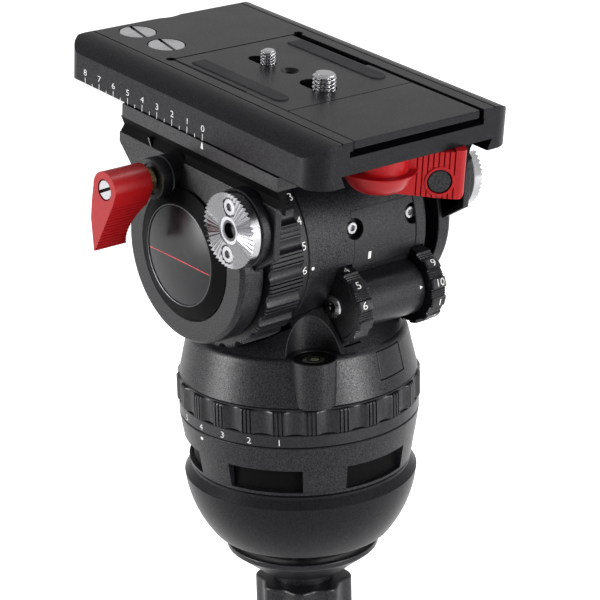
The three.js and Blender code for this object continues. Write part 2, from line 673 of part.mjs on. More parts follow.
function cheekSolid(side) {
  const wide = (near, far) => span(side, near, far);
  const face = drumFace(side);
  const mirrored = (profile) => profile.map(([radius, along]) => [radius, side * along]);
  const plateSolid = prismX(cheekOutline(), ...wide(cheek.plateInner, cheek.outer));
  const web = prismX([
    [cheek.rear, cheek.top - cheek.webOverlap], [cradle.front, cheek.top - cheek.webOverlap],
    [cradle.front, cheek.webTop], [cheek.rear, cheek.webTop],
  ], ...wide(cheek.webInner, cheek.webOuter));
  const drumSolid = turnX(mirrored([
    [0, cheek.drumInner], [drumRadius, cheek.drumInner], [drumRadius, face - drum.edgeDepth],
    [drumFaceRadius, face], [drum.recessRadius, face], [drum.recessRadius, face - drum.recessDepth],
    [0, face - drum.recessDepth],
  ]), largeSides);
  const body = plateSolid.add(web).add(drumSolid).add(cheekShoulder(side))
    .add(rodX(rosetteBoss.radius, ...wide(cheek.plateInner, rosetteBack), rosette.y, rosette.z))
    .add(rodX(leverBoss.radius, ...wide(cheek.plateInner, leverBoss.end), leverBoss.y, leverBoss.z));
  const boreEnd = leverBoss.end - leverScrew.reach - fitGap;
  return body.subtract(rosetteSpace(side))
    .subtract(rodX(tiltAxle.radius + fitGap, ...wide(cheek.drumInner - overrun, tiltAxle.end + fitGap)))
    .subtract(rodX(rosette.boreRadius, ...wide(cheek.plateInner - overrun, rosetteBack + overrun), rosette.y,
      rosette.z, smallSides))
    .subtract(rodX(leverScrew.shankRadius + fitGap, ...wide(boreEnd, leverBoss.end + overrun), leverBoss.y,
      leverBoss.z, smallSides));
}

function bezelSolid(side) {
  const face = drumFace(side);
  const back = face - drum.recessDepth + fitGap;
  const lip = face + bezel.lip;
  const profile = [
    [bezelInnerRadius, back], [bezel.outerRadius, back], [bezel.outerRadius, face],
    [bezelCrestRadius, face + bezel.crest], [bezelCrestRadius - fitGap, lip], [bezelInnerRadius, lip],
    [bezelInnerRadius, back],
  ];
  const reach = span(side, back - overrun, lip + overrun);
  return turnX(profile.map(([radius, along]) => [radius, side * along]), largeSides)
    .subtract(rodX(rosetteBoss.radius + fitGap, ...reach, rosette.y, rosette.z))
    .subtract(rodX(leverBoss.radius + fitGap, ...reach, leverBoss.y, leverBoss.z));
}

function domeSolid(side) {
  const face = drumFace(side);
  const back = face - drum.recessDepth + fitGap;
  const profile = [[0, back], [dome.radius, back]];
  for (let i = 0; i <= dome.arcSteps; i += 1) {
    const share = 1 - i / dome.arcSteps;
    profile.push([dome.radius * share, face + dome.edge + (dome.crown - dome.edge) * (1 - share ** 2)]);
  }
  return turnX(profile.map(([radius, along]) => [radius, side * along]), mediumSides);
}

// Rosette: the rim of a disc is raised and lowered in turn, so the teeth run out to the centre
function rosetteSolid(side) {
  const disc = new THREE.CylinderGeometry(
    rosette.radius, rosette.radius, rosette.thickness, rosette.teeth * 2,
  );
  const place = disc.attributes.position;
  for (let i = 0; i < place.count; i += 1) {
    const radius = Math.hypot(place.getX(i), place.getZ(i));
    if (place.getY(i) < 0 || radius < rosette.hubRadius) continue;
    const angle = THREE.MathUtils.radToDeg(Math.atan2(place.getZ(i), place.getX(i)));
    const crest = Math.round(angle * rosette.teeth * 2 / fullTurn) % 2 === 0;
    place.setY(i, rosette.thickness / 2 - (crest ? 0 : rosette.toothDepth));
  }
  if (side < 0) disc.rotateX(radians(halfTurn));
  disc.applyMatrix4(turnedX).translate(side * (rosette.face - rosette.thickness / 2), rosette.y, rosette.z);
  const faceCut = (radius, depth, z) => rodX(
    radius, ...span(side, rosette.face - depth, rosette.face + overrun), rosette.y, z, smallSides,
  );
  return toSolid(disc)
    .subtract(faceCut(rosette.hubRadius, rosette.hubDepth, rosette.z))
    .subtract(faceCut(rosette.boreRadius, rosette.thickness + overrun, rosette.z))
    .subtract(faceCut(rosette.screwRadius, rosette.screwDepth, rosette.z + rosette.screwOffset))
    .subtract(faceCut(rosette.screwRadius, rosette.screwDepth, rosette.z - rosette.screwOffset));
}

// Cradle: flat strips at the sides, a dovetail rail on top and an arch over the tilt housing
function cradleSolid() {
  const half = cradle.halfWidth;
  const outline = [
    [-half, cradle.low], [half, cradle.low], [half, cradle.stripTop], [rail.bottomHalfWidth, cradle.stripTop],
    [rail.topHalfWidth, cradle.railTop], [-rail.topHalfWidth, cradle.railTop],
    [-rail.bottomHalfWidth, cradle.stripTop], [-half, cradle.stripTop],
  ];
  const notch = cradle.notchHalfWidth;
  const archRadius = housing.radius + cradle.archClearance;
  let body = prismY(outline, cradle.rear, cradle.front)
    .subtract(rodX(archRadius, -cheek.webInner, cheek.webInner, 0, 0, largeSides))
    .subtract(box(-notch, notch, cradle.rear - overrun, cradle.notchFront, cradle.low - overrun,
      cradle.railTop + overrun));
  for (const side of [-1, 1]) body = body.subtract(slidePadSolid(side, fitGap));
  return body;
}

function slidePadSolid(side, gap) {
  const outer = rail.topHalfWidth - slidePad.inset + gap;
  const inner = rail.topHalfWidth - slidePad.inset - slidePad.width - gap;
  const top = cradle.railTop + (gap > 0 ? overrun : 0);
  return box(...span(side, inner, outer), slidePad.rear - gap, slidePad.front + gap,
    cradle.railTop - slidePad.depth - gap, top);
}

// Balance platform: one section along Y, a rounded plan and a rounded nose, then the channel for the plate
function platformSection() {
  const drop = platform.top - platform.sideTop;
  const run = platform.halfWidth - platform.shoulderHalfWidth;
  const radius = (run ** 2 + drop ** 2) / (drop * 2);
  const centre = platform.top - radius;
  const low = THREE.MathUtils.radToDeg(Math.asin((platform.sideTop - centre) / radius));
  const quarter = halfTurn / 2;
  const inner = rail.bottomHalfWidth + fitGap;
  const pocketTop = rail.topHalfWidth + fitGap;
  const groove = platform.grooveWidth;
  const halfSection = [
    [pocketTop, platform.undersideHeight], [inner, platform.skirtBottom],
    [platform.halfWidth - platform.skirtChamfer, platform.skirtBottom],
    [platform.halfWidth, platform.skirtBottom + platform.skirtChamfer],
    ...arc(platform.shoulderHalfWidth, centre, radius, low, quarter, platform.arcSteps),
    [platform.shoulderHalfWidth - groove / 2, platform.top - platform.grooveDepth],
    [platform.shoulderHalfWidth - groove, platform.top],
  ];
  const mirror = halfSection.map(([x, z]) => [-x, z]).reverse();
  return [...halfSection, ...mirror];
}

function platformPlan() {
  const radius = platform.cornerRadius;
  const x = platform.halfWidth - radius;
  const rear = platform.rear + radius;
  const front = platform.front - radius;
  const quarter = halfTurn / 2;
  const steps = platform.cornerSteps;
  return [
    ...arc(x, front, radius, 0, quarter, steps), ...arc(-x, front, radius, quarter, halfTurn, steps),
    ...arc(-x, rear, radius, halfTurn, halfTurn + quarter, steps),
    ...arc(x, rear, radius, halfTurn + quarter, fullTurn, steps),
  ];
}

function platformSide() {
  const round = platform.frontRound;
  return [
    [platform.rear, platform.skirtBottom - overrun], [platform.front, platform.skirtBottom - overrun],
    ...arc(platform.front - round, platform.top - round, round, 0, halfTurn / 2, platform.arcSteps),
    [platform.rear + platform.rearChamfer, platform.top], [platform.rear, platform.top - platform.rearChamfer],
  ];
}

function platformSolid() {
  const low = platform.skirtBottom - overrun;
  const half = platform.halfWidth + overrun;
  let body = prismY(platformSection(), platform.rear, platform.front)
    .intersect(prismZ(platformPlan(), low, platform.top + overrun))
    .intersect(prismX(platformSide(), -half, half));
  const rear = platform.rear - overrun;
  const front = plate.front + fitGap;
  const notchRadius = plate.cornerRadius;
  body = body.subtract(box(channel.left, channel.right, rear, front, channel.slotFloor, platform.top + overrun))
    .subtract(box(channel.slotLeft, channel.slotRight, rear, front, channel.slotFloor, channel.slotTop));
  for (const x of [channel.left, channel.right]) {
    body = body.subtract(rodZ(notchRadius, channel.slotTop, platform.top + overrun, x, front, tinySides));
  }
  const notchMiddle = (thumbNotch.left + thumbNotch.right) / 2;
  const notchHalf = (thumbNotch.right - thumbNotch.left) / 2;
  const bow = (notchHalf ** 2 + thumbNotch.depth ** 2) / (thumbNotch.depth * 2);
  body = body.subtract(rodZ(bow, low, platform.top + overrun, notchMiddle,
    platform.front - thumbNotch.depth + bow));
  for (const y of [spareScrew.frontY, spareScrew.rearY]) {
    const seat = platform.top - spareScrew.headHeight - fitGap;
    body = body.subtract(rodZ(spareScrew.headRadius + fitGap, seat, platform.top + overrun, spareScrew.x, y))
      .subtract(rodZ(largeScrew.radius + fitGap, seat - spareScrew.shankLength - fitGap, seat + overrun,
        spareScrew.x, y, smallSides));
  }
  return body.subtract(rodZ(pivotPin.radius + fitGap, low, pivotPin.top + fitGap, release.hubX, release.hubY,
    smallSides));
}

function slottedHead(solid, x, y, top, radius, angle) {
  const half = screwSlot.width / 2;
  const reach = radius + overrun;
  const geometry = new THREE.BoxGeometry(reach * 2, half * 2, screwSlot.depth * 2);
  return solid.subtract(toSolid(geometry.rotateZ(radians(angle)).translate(x, y, top)));
}

function spareScrewSolid(y, shankRadius) {
  const top = platform.top;
  const seat = top - spareScrew.headHeight;
  const solid = rodZ(spareScrew.headRadius, seat, top, spareScrew.x, y)
    .add(rodZ(shankRadius, seat - spareScrew.shankLength, seat + fitGap, spareScrew.x, y, smallSides));
  const slotAngle = 78;
  return slottedHead(solid, spareScrew.x, y, top, spareScrew.headRadius, slotAngle);
}

// Camera plate: slim body, claws under the rails, slots for the screws and seats for the rubber strips
function plateOutline() {
  const { left, right, frontLeft, frontRight, rear, front, reliefY, chamfer } = plate;
  return [
    [left, rear], [right, rear], [right, reliefY - chamfer], [frontRight, reliefY],
    [frontRight, front - chamfer], [frontRight - chamfer, front], [frontLeft + chamfer, front],
    [frontLeft, front - chamfer], [frontLeft, reliefY], [left, reliefY - chamfer],
  ];
}

function plateSide() {
  const { rear, front, bottom, top, chamfer } = plate;
  return [[rear, bottom], [front, bottom], [front, top], [rear + chamfer, top], [rear, top - chamfer]];
}

function plateSolid() {
  const low = plate.bottom;
  const reach = channel.slotRight + overrun;
  let body = prismZ(plateOutline(), low, plate.top).intersect(prismX(plateSide(), -reach, reach));
  const clawTop = low + fitGap;
  const clawRightInner = plate.right - claw.width;
  body = body
    .add(box(-claw.leftReach, -claw.leftReach + claw.width, claw.rear, claw.front, claw.bottom, claw.top))
    .add(box(plate.left, -claw.leftReach + claw.width, claw.rear, claw.front, claw.bottom, clawTop))
    .add(box(clawRightInner, claw.rightReach, claw.rear, claw.front, claw.bottom, claw.top))
    .add(box(clawRightInner, plate.right, claw.rear, claw.front, claw.bottom, clawTop));
  for (const screw of [smallScrew, largeScrew]) {
    const head = screw.radius + screwHead.spread + plateSlot.clearance;
    const neck = screw.radius + plateSlot.clearance;
    const to = screw.y + plateSlot.travel;
    const seat = low + screwHead.height + fitGap;
    body = body.subtract(prismZ(stadium(screw.x, head, screw.y, to, tinySides), low - overrun, seat))
      .subtract(prismZ(stadium(screw.x, neck, screw.y, to, tinySides), low, plate.top + overrun));
  }
  const sink = turnZ([
    [0, low - overrun], [plateHole.radius, low - overrun], [plateHole.radius, plate.top - plateHole.sinkDepth],
    [plateHole.sinkRadius, plate.top], [plateHole.sinkRadius, plate.top + overrun], [0, plate.top + overrun],
  ], smallSides, plateHole.x, plateHole.y);
  const line = plate.lineWidth / 2;
  const groove = box(-reach, reach, plate.lineY - line, plate.lineY + line, plate.top - plate.lineDepth,
    plate.top + overrun);
  return body.subtract(sink).subtract(groove)
    .subtract(stripSolid(strip.leftX, strip.leftWidth, fitGap))
    .subtract(stripSolid(strip.rightX, strip.rightWidth, fitGap));
}

function stripSolid(x, width, gap) {
  const radius = width / 2 + gap;
  const outline = [
    [x + radius, strip.front + gap], [x - radius, strip.front + gap],
    ...arc(x, strip.rear + width / 2, radius, halfTurn, fullTurn, tinySides),
  ];
  const top = plate.top + strip.proud + (gap > 0 ? overrun : 0);
  return prismZ(outline, plate.top - strip.sunk - gap, top);
}

function clampJaw() {
  const right = channel.right - fitGap;
  return box(right - jaw.width, right, claw.rear, claw.front, jaw.bottom, jaw.bottom + jaw.height);
}

function cameraScrew(screw) {
  const seat = plate.bottom + screwHead.height;
  const headRadius = screw.radius + screwHead.spread;
  const top = plate.top + screw.height;
  const tip = screw.radius / 4;
  const head = headRadius * (1 - fitGap / 4);
  return turnZ([
    [0, plate.bottom], [head, plate.bottom], [headRadius, plate.bottom + fitGap], [headRadius, seat],
    [screw.radius, seat], [screw.radius, top - tip], [screw.radius - tip, top], [0, top],
  ], smallSides, screw.x, screw.y);
}

// Red lever along X with its inner end at zero, blade hanging down and leaning to one side of Y
function leverSection(lean) {
  const radius = lever.hubRadius;
  const front = arc(0, 0, radius, 0, halfTurn, smallSides);
  const rear = [];
  const dropLength = lever.bladeDrop - lever.rearStartDrop;
  const tipRear = lever.tipLean - lever.tipWidth;
  for (let i = 0; i <= lever.serrations; i += 1) {
    const share = i / lever.serrations;
    const y = lever.rearStart + (tipRear - lever.rearStart) * share;
    const z = -lever.rearStartDrop - dropLength * share;
    rear.push([y, z]);
    if (i < lever.serrations) rear.push([y + lever.serrationDepth, z - dropLength / lever.serrations / 4]);
  }
  const nose = [
    [lever.tipLean, -lever.bladeDrop], [lever.frontBulge, -lever.frontBulgeDrop],
    [(lever.frontBulge + radius) / 2 + fitGap, -lever.frontBulgeDrop / 2],
  ];
  return [...front, ...rear, ...nose].map(([y, z]) => [y * lean, z]);
}

function leverSide() {
  const { hubRadius, length, bladeDrop, tipInner, bladeCurve, curveAngle, bendSteps } = lever;
  const curve = arc(tipInner - bladeCurve, -bladeDrop, bladeCurve, 0, curveAngle, bendSteps);
  const curveTop = bladeCurve * sine(curveAngle) - bladeDrop;
  return [[0, hubRadius], [length, hubRadius], [length, -bladeDrop], ...curve, [0, curveTop]];
}

function leverSolid(lean) {
  const reach = lever.frontBulge + overrun;
  const headSeat = lever.length - leverScrew.headHeight - fitGap;
  return prismX(leverSection(lean), 0, lever.length)
    .intersect(prismY(leverSide(), -reach, reach))
    .subtract(rodX(leverScrew.shankRadius + fitGap, -overrun, lever.length, 0, 0, smallSides))
    .subtract(rodX(leverScrew.headRadius + fitGap, headSeat, lever.length + overrun, 0, 0, smallSides));
}

function leverScrewSolid() {
  const end = lever.length;
  const inner = -leverWasher.length - fitGap * 2 - leverScrew.reach;
  const slot = new THREE.BoxGeometry(screwSlot.depth * 2, leverScrew.headRadius * 2 + overrun, screwSlot.width);
  const slotTurn = -28;
  return rodX(leverScrew.shankRadius, inner, end - overrun / 2, 0, 0, smallSides)
    .add(rodX(leverScrew.headRadius, end - leverScrew.headHeight, end, 0, 0, smallSides))
    .subtract(toSolid(slot.rotateX(radians(slotTurn)).translate(end, 0, 0)));
}

function leverWasherSolid() {
  const outer = -fitGap;
  const bore = leverScrew.shankRadius + fitGap;
  return turnX(ringProfile(bore, leverWasher.radius, outer - leverWasher.length, outer), smallSides);
}

// Release lever: a bowl-shaped hub with a neck under the platform, and an arm with a flat face
function releasePlace(solid) {
  return solid.rotate(0, 0, release.armAngle).translate(release.hubX, release.hubY, 0);
}

function releaseHub() {
  const { bottom, top, flangeRadius, flangeHeight, neckRadius } = release;
  return turnZ([
    [0, bottom], [release.bottomRadius, bottom], [release.footRadius, release.footHeight],
    [release.bellyRadius, release.bellyHeight], [flangeRadius, flangeHeight],
    [neckRadius, flangeHeight + fitGap],
    [neckRadius, top], [0, top],
  ], mediumSides);
}

function releaseArm() {
  const { end, endRound, endStart, endTop, top, bottom, faceOffset, thickness } = release;
  const quarter = halfTurn / 2;
  const outline = [
    [0, top], [0, bottom], [release.armBottomX, release.armBottom], [release.tipX, release.tipBottom],
    ...arc(end - endRound, release.tipBottom + endRound, endRound, -quarter, 0, lever.bendSteps),
    [end, endTop], [endStart, endTop], [endStart, top],
  ];
  const plan = [
    [0, -faceOffset], ...arc(end - endRound, endRound - faceOffset, endRound, -quarter, 0, lever.bendSteps),
    [end, thickness - faceOffset], [0, thickness - faceOffset],
  ];
  return prismY(outline, -faceOffset - overrun, thickness).intersect(prismZ(plan, bottom - thickness, endTop));
}

function releaseLever() {
  const { faceOffset, top, end } = release;
  const low = release.bottom - release.thickness;
  const reach = release.flangeRadius + overrun;
  const flat = box(0, end, -reach, -faceOffset, low, release.flangeHeight);
  let body = releaseHub().subtract(flat).add(releaseArm());
  for (let i = 0; i < release.ribs; i += 1) {
    const x = release.ribStart + i * release.ribPitch;
    const floor = release.ribDepth - faceOffset;
    body = body.subtract(box(x, x + release.ribWidth, -reach, floor, low, release.flangeHeight));
  }
  const floor = button.length + button.travel + fitGap * 2 - faceOffset;
  body = body
    .add(rodY(button.ringRadius, -faceOffset - button.ringProud, 0, button.x, button.z, smallSides * 2))
    .subtract(rodY(button.radius + fitGap, -reach, floor, button.x, button.z, smallSides * 2))
    .subtract(rodZ(pivotPin.radius + fitGap, pivotPin.bottom - fitGap, top + overrun, 0, 0, smallSides));
  const side = platform.halfWidth;
  const underPlatform = box(-side, side, platform.rear - fitGap, 0, top, platform.top);
  return releasePlace(body).subtract(underPlatform);
}

function releaseButton() {
  const face = -release.faceOffset - button.ringProud / 2;
  return releasePlace(rodY(button.radius, face, face + button.length, button.x, button.z, smallSides * 2));
}

// Lever group with its screw and washer
function leverGroup(prefix, lean, withWasher) {
  const group = new THREE.Group();
  group.add(
    piece(`${prefix}_lever`, leverSolid(lean), 'red'),
    piece(`${prefix}_screw`, leverScrewSolid(), 'steel'),
  );
  if (withWasher) group.add(piece(`${prefix}_washer`, leverWasherSolid(), 'brass'));
  return group;
}

// Base and pan pieces, in the frame of the half ball
const head = new THREE.Group();
head.add(
  piece('half_ball', halfBall(), 'anodised'),
  piece('tie_down_stud', rodZ(stud.radius, stud.bottom, stud.top), 'steel'),
  piece('clamp_cup', clampCup(), 'anodised'),
  piece('tie_down_knob', tieDownKnob(), 'polymer'),
  piece('fixed_base', fixedBase(), 'casting'),
  piece('pan_axle', turnZ([
    [0, baseCore.cavityFloor + fitGap], [panAxle.flangeRadius, baseCore.cavityFloor + fitGap],
    [panAxle.flangeRadius, baseCore.cavityFloor + fitGap + panAxle.flangeHeight],
    [panAxle.radius, baseCore.cavityFloor + fitGap + panAxle.flangeHeight], [panAxle.radius, panAxle.top],
    [0, panAxle.top],
  ], mediumSides), 'steel'),
  piece('pan_drag_cartridge', turnZ(ringProfile(
    panAxle.radius + fitGap, baseCore.cavityRadius - fitGap,
    baseCore.cavityFloor + panAxle.flangeHeight + fitGap * 2, panRing.high - fitGap,
  ), mediumSides), 'steel'),
  piece('pan_drag_ring', panDragRing(), 'satin'),
  piece('pan_housing', panHousing(), 'casting'),
  piece('pan_bearing', turnZ(ringProfile(
    panAxle.radius + fitGap, panBearing.outerRadius, panBearing.low, panBearing.high,
  ), mediumSides), 'steel'),
  piece('pan_cover_plate', panCoverSolid(0), 'satin'),
  piece('level_vial', rodZ(
    level.glassRadius, level.floor - level.glassHeight, level.floor, levelX, levelY,
  ), 'glass'),
);

const panLever = leverGroup('pan_brake', 1, true);
panLever.rotation.z = radians(panLeverPlace.angle);
const panLeverStart = panLeverPlace.bossEnd + leverWasher.length + fitGap * 2;
panLever.position.set(
  panLeverStart * cosine(panLeverPlace.angle), panLeverStart * sine(panLeverPlace.angle), panLeverPlace.height,
);
head.add(panLever);

// Pieces about the tilt axis that stay with the pan housing
const tiltAxisGroup = new THREE.Group();
tiltAxisGroup.position.z = tiltAxisHeight;
const bearingEnd = housing.sleeveEnd - fitGap;
const bearingBore = tiltAxle.radius + fitGap;
tiltAxisGroup.add(
  piece('tilt_housing', tiltHousing(), 'casting'),
  piece('tilt_bearing_left', turnX(ringProfile(
    bearingBore, tiltBearing.outerRadius, -bearingEnd, tiltBearing.width - bearingEnd,
  ), mediumSides), 'steel'),
  piece('tilt_bearing_right', turnX(ringProfile(
    bearingBore, tiltBearing.outerRadius, bearingEnd - tiltBearing.width, bearingEnd,
  ), mediumSides), 'steel'),
  piece('tilt_drag_cartridge', turnX(ringProfile(
    bearingBore, dragUnit.radius, dragUnit.left, dragUnit.right,
  ), mediumSides), 'steel'),
  piece('counterbalance_spring', turnX(ringProfile(
    bearingBore, springUnit.radius, springUnit.left, springUnit.right,
  ), mediumSides), 'steel'),
  piece('balance_cover_panel', coverPanel(), 'satin'),
  piece('side_ring', sideRingSolid(), 'satin'),
  piece('tilt_drag_ring', tiltDragRing(), 'satin'),
  piece('counterbalance_barrel', counterBarrel(), 'satin'),
  piece('balance_dial_left', dialSolid(
    dial.leftStart, leftCapStart - overrun, leftCapStart + capRecess,
  ), 'polymer'),
  piece('balance_dial_right', dialSolid(
    dial.rightStart, rightCapEnd - capRecess, rightCapEnd + overrun,
  ), 'polymer'),
  piece('dial_cap_left', dialCapSolid(leftCapStart), 'satin'),
  piece('dial_cap_right', dialCapSolid(rightCapStart), 'satin'),
  piece('dial_shaft', rodX(dialShaft.radius, leftCapStart, rightCapEnd, counterY,
    counterZ, smallSides), 'steel'),
);
head.add(tiltAxisGroup);

// Tilting pieces, in a frame on the tilt axis that stands at the rest tilt
const tilting = new THREE.Group();
tilting.position.z = tiltAxisHeight;
tilting.rotation.x = radians(restTilt);
tilting.add(
  piece('tilt_axle', rodX(tiltAxle.radius, -tiltAxle.end, tiltAxle.end), 'steel'),
  piece('cradle', cradleSolid(), 'grey'),
  piece('slide_pad_left', slidePadSolid(-1, 0), 'polymer'),
  piece('slide_pad_right', slidePadSolid(1, 0), 'polymer'),
  piece('balance_platform', platformSolid(), 'anodised'),
  piece('spare_screw_front', spareScrewSolid(spareScrew.frontY, smallScrew.radius), 'steel'),
  piece('spare_screw_rear', spareScrewSolid(spareScrew.rearY, largeScrew.radius), 'steel'),
  piece('plate_clamp_jaw', clampJaw(), 'steel'),
  piece('release_lever', releaseLever(), 'red'),
  piece('release_button', releaseButton(), 'polymer'),
  piece('release_pivot_pin', rodZ(pivotPin.radius, pivotPin.bottom, pivotPin.top, release.hubX, release.hubY,
    smallSides), 'steel'),
  piece('camera_plate', plateSolid(), 'anodised'),
  piece('grip_strip_left', stripSolid(strip.leftX, strip.leftWidth, 0), 'rubber'),
  piece('grip_strip_right', stripSolid(strip.rightX, strip.rightWidth, 0), 'rubber'),
  piece('camera_screw_small', cameraScrew(smallScrew), 'steel'),
  piece('camera_screw_large', cameraScrew(largeScrew), 'steel'),
);
for (const [side, name] of [[-1, 'left'], [1, 'right']]) {
  tilting.add(
    piece(`${name}_cheek`, cheekSolid(side), 'casting'),
    piece(`${name}_bezel`, bezelSolid(side), 'steel'),
    piece(`${name}_dome_cap`, domeSolid(side), 'gloss'),
    piece(`${name}_rosette`, rosetteSolid(side), 'silver'),
  );
}

const tiltLever = leverGroup('tilt_brake', -1, true);
tiltLever.rotation.z = Math.PI;
const slideLever = leverGroup('slide_lock', 1, true);
const leverStart = leverBoss.end + leverWasher.length + fitGap * 2;
tiltLever.position.set(-leverStart, leverBoss.y, leverBoss.z);
slideLever.position.set(leverStart, leverBoss.y, leverBoss.z);
tilting.add(tiltLever, slideLever);
head.add(tilting);

export default head;
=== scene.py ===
import math
import bmesh
import bpy
from mathutils import Matrix, Vector
from types import SimpleNamespace as Sizes


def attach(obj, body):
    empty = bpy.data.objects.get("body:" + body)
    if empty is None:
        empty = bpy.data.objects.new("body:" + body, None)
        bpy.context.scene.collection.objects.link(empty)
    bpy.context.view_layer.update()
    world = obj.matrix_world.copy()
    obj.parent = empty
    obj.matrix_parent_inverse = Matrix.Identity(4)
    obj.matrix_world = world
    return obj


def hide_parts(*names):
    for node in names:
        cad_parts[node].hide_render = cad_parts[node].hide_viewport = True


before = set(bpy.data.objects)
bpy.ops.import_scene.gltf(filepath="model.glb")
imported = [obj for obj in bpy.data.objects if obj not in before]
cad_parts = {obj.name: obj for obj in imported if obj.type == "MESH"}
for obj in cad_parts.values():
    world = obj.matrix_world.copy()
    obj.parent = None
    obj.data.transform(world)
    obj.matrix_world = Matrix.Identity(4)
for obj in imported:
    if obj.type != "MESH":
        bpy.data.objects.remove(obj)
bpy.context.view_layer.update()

# Everything is built in millimetres, in one of three frames or a place worked out from one
MM = 0.001
GAP = .3
TILT_AXIS_HEIGHT = 102.4
REST_TILT = 6.38
BASE = Matrix.Identity(4)
AXIS = Matrix.Translation((0, 0, TILT_AXIS_HEIGHT))
TILT = AXIS @ Matrix.Rotation(math.radians(REST_TILT), 4, "X")
scene = bpy.context.scene


def cosd(a):
    return math.cos(math.radians(a))


def sind(a):
    return math.sin(math.radians(a))


def arc(cu, cv, r, start, end, n):
    """Points along an arc, both ends included."""
    angles = [start + (end - start) * i / n for i in range(n + 1)]
    return [(cu + r * cosd(a), cv + r * sind(a)) for a in angles]


def circle(r, n, centre=(0, 0)):
    return [(centre[0] + r * cosd(360 * i / n), centre[1] + r * sind(360 * i / n)) for i in range(n)]


def linked(name, data):
    obj = bpy.data.objects.new(name, data)
    scene.collection.objects.link(obj)
    return obj


# Mesh helpers
def make(name, verts, faces, place=BASE):
    mesh = bpy.data.meshes.new(name)
    mesh.from_pydata([tuple((place @ Vector(v)) * MM) for v in verts], [], faces)
    bm = bmesh.new()
    bm.from_mesh(mesh)
    bmesh.ops.remove_doubles(bm, verts=bm.verts, dist=1e-7)
    bmesh.ops.recalc_face_normals(bm, faces=bm.faces)
    bm.to_mesh(mesh)
    bm.free()
    return linked(name, mesh)


def axis_point(axis, u, v, w):
    return {"Z": (u, v, w), "X": (w, u, v), "Y": (u, w, v)}[axis]


def prism(name, outline, axis, lo, hi, place=BASE):
    n = len(outline)
    verts = [axis_point(axis, u, v, w) for w in (lo, hi) for u, v in outline]
    faces = [tuple(range(n)), tuple(range(n, 2 * n))]
    faces += [(i, (i + 1) % n, n + (i + 1) % n, n + i) for i in range(n)]
    return make(name, verts, faces, place)


def box(name, x, y, z, place=BASE):
    outline = [(x[0], y[0]), (x[1], y[0]), (x[1], y[1]), (x[0], y[1])]
    return prism(name, outline, "Z", z[0], z[1], place)


def turn(name, profile, axis="Z", centre=(0, 0), segs=128, place=BASE):
    """Turned solid: profile is (radius, along) points, closed through the axis or on itself."""
    rings, verts, faces = [], [], []
    for r, w in profile:
        if r < 1e-6:
            rings.append([len(verts)] * segs)
            verts.append(axis_point(axis, centre[0], centre[1], w))
        else:
            rings.append([len(verts) + i for i in range(segs)])
            verts += [axis_point(axis, u, v, w) for u, v in circle(r, segs, centre)]
    pairs = list(zip(rings, rings[1:]))
    if profile[0][0] > 1e-6 and profile[0] != profile[-1]:
        pairs.append((rings[-1], rings[0]))
    for a, b in pairs:
        for i in range(segs):
            j = (i + 1) % segs
            face = [a[i], a[j], b[j], b[i]]
            face = [v for k, v in enumerate(face) if v != face[k - 1]]
            if len(face) > 2:
                faces.append(tuple(face))
    return make(name, verts, faces, place)


def wall_of(r, lo, hi, edge):
    """Outer wall of a turned profile, with its two edges cut off where edge isn't 0."""
    if not edge:
        return [(r, lo), (r, hi)]
    return [(r - edge, lo), (r, lo + edge), (r, hi - edge), (r - edge, hi)]


def rod(name, r, lo, hi, axis="Z", centre=(0, 0), segs=64, place=BASE, edge=0.0):
    return turn(name, [(0, lo), *wall_of(r, lo, hi, edge), (0, hi)], axis, centre, segs, place)


def tube(name, bore, r, lo, hi, axis="Z", centre=(0, 0), segs=128, place=BASE, edge=0.0):
    return turn(name, [(bore, lo), *wall_of(r, lo, hi, edge), (bore, hi)], axis, centre, segs, place)


def axis_turn(name, profile, centre=(0, 0), segs=256):
    """Turned about the tilt axis, or a line beside it, on the side that doesn't tilt."""
    return turn(name, profile, "X", centre, segs, AXIS)


def axis_rod(name, r, lo, hi, centre=(0, 0), segs=160, edge=0.0):
    return rod(name, r, lo, hi, "X", centre, segs, AXIS, edge)


def loft(name, rings, place=BASE, wrap=False):
    n = len(rings[0])
    verts = [p for ring in rings for p in ring]
    faces = []
    pairs = [(k, k + 1) for k in range(len(rings) - 1)]
    if wrap:
        pairs.append((len(rings) - 1, 0))
    else:
        faces += [tuple(range(n)), tuple(range(len(verts) - n, len(verts)))]
    for a, b in pairs:
        faces += [(a * n + i, a * n + (i + 1) % n, b * n + (i + 1) % n, b * n + i) for i in range(n)]
    return make(name, verts, faces, place)


def final_mesh(obj):
    bpy.context.view_layer.update()
    shape = obj.evaluated_get(bpy.context.evaluated_depsgraph_get())
    return bpy.data.meshes.new_from_object(shape)


def baked(obj):
    mesh = final_mesh(obj)
    obj.modifiers.clear()
    obj.data = mesh
    return obj


def combine(obj, others, how):
    for other in others:
        step = obj.modifiers.new("join", "BOOLEAN")
        step.operation = how
        step.solver = "MANIFOLD"
        step.object = other
    baked(obj)
    for other in others:
        bpy.data.objects.remove(other)
    return obj


def cut(obj, *others):
    return combine(obj, others, "DIFFERENCE")


def add(obj, *others):
    return combine(obj, others, "UNION")


def common(obj, *others):
    return combine(obj, others, "INTERSECT")


def rounded(obj, width, segments=3, angle=35):
    step = obj.modifiers.new("edge", "BEVEL")
    step.width = width * MM
    step.segments = segments
    step.limit_method = "ANGLE"
    step.angle_limit = math.radians(angle)
    step.use_clamp_overlap = True
    return baked(obj)


def put(obj, body, slot, mat, *nodes, angle=38):
    """Last step of a piece: shading, material, the body it rides on and the nodes it stands for."""
    obj.data.materials.clear()
    obj.data.materials.append(mat)
    obj.data.shade_smooth()
    obj.data.set_sharp_from_angle(angle=math.radians(angle))
    step = obj.modifiers.new("shade", "WEIGHTED_NORMAL")
    step.keep_sharp = True
    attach(obj, body)
    if nodes:
        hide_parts(*nodes)


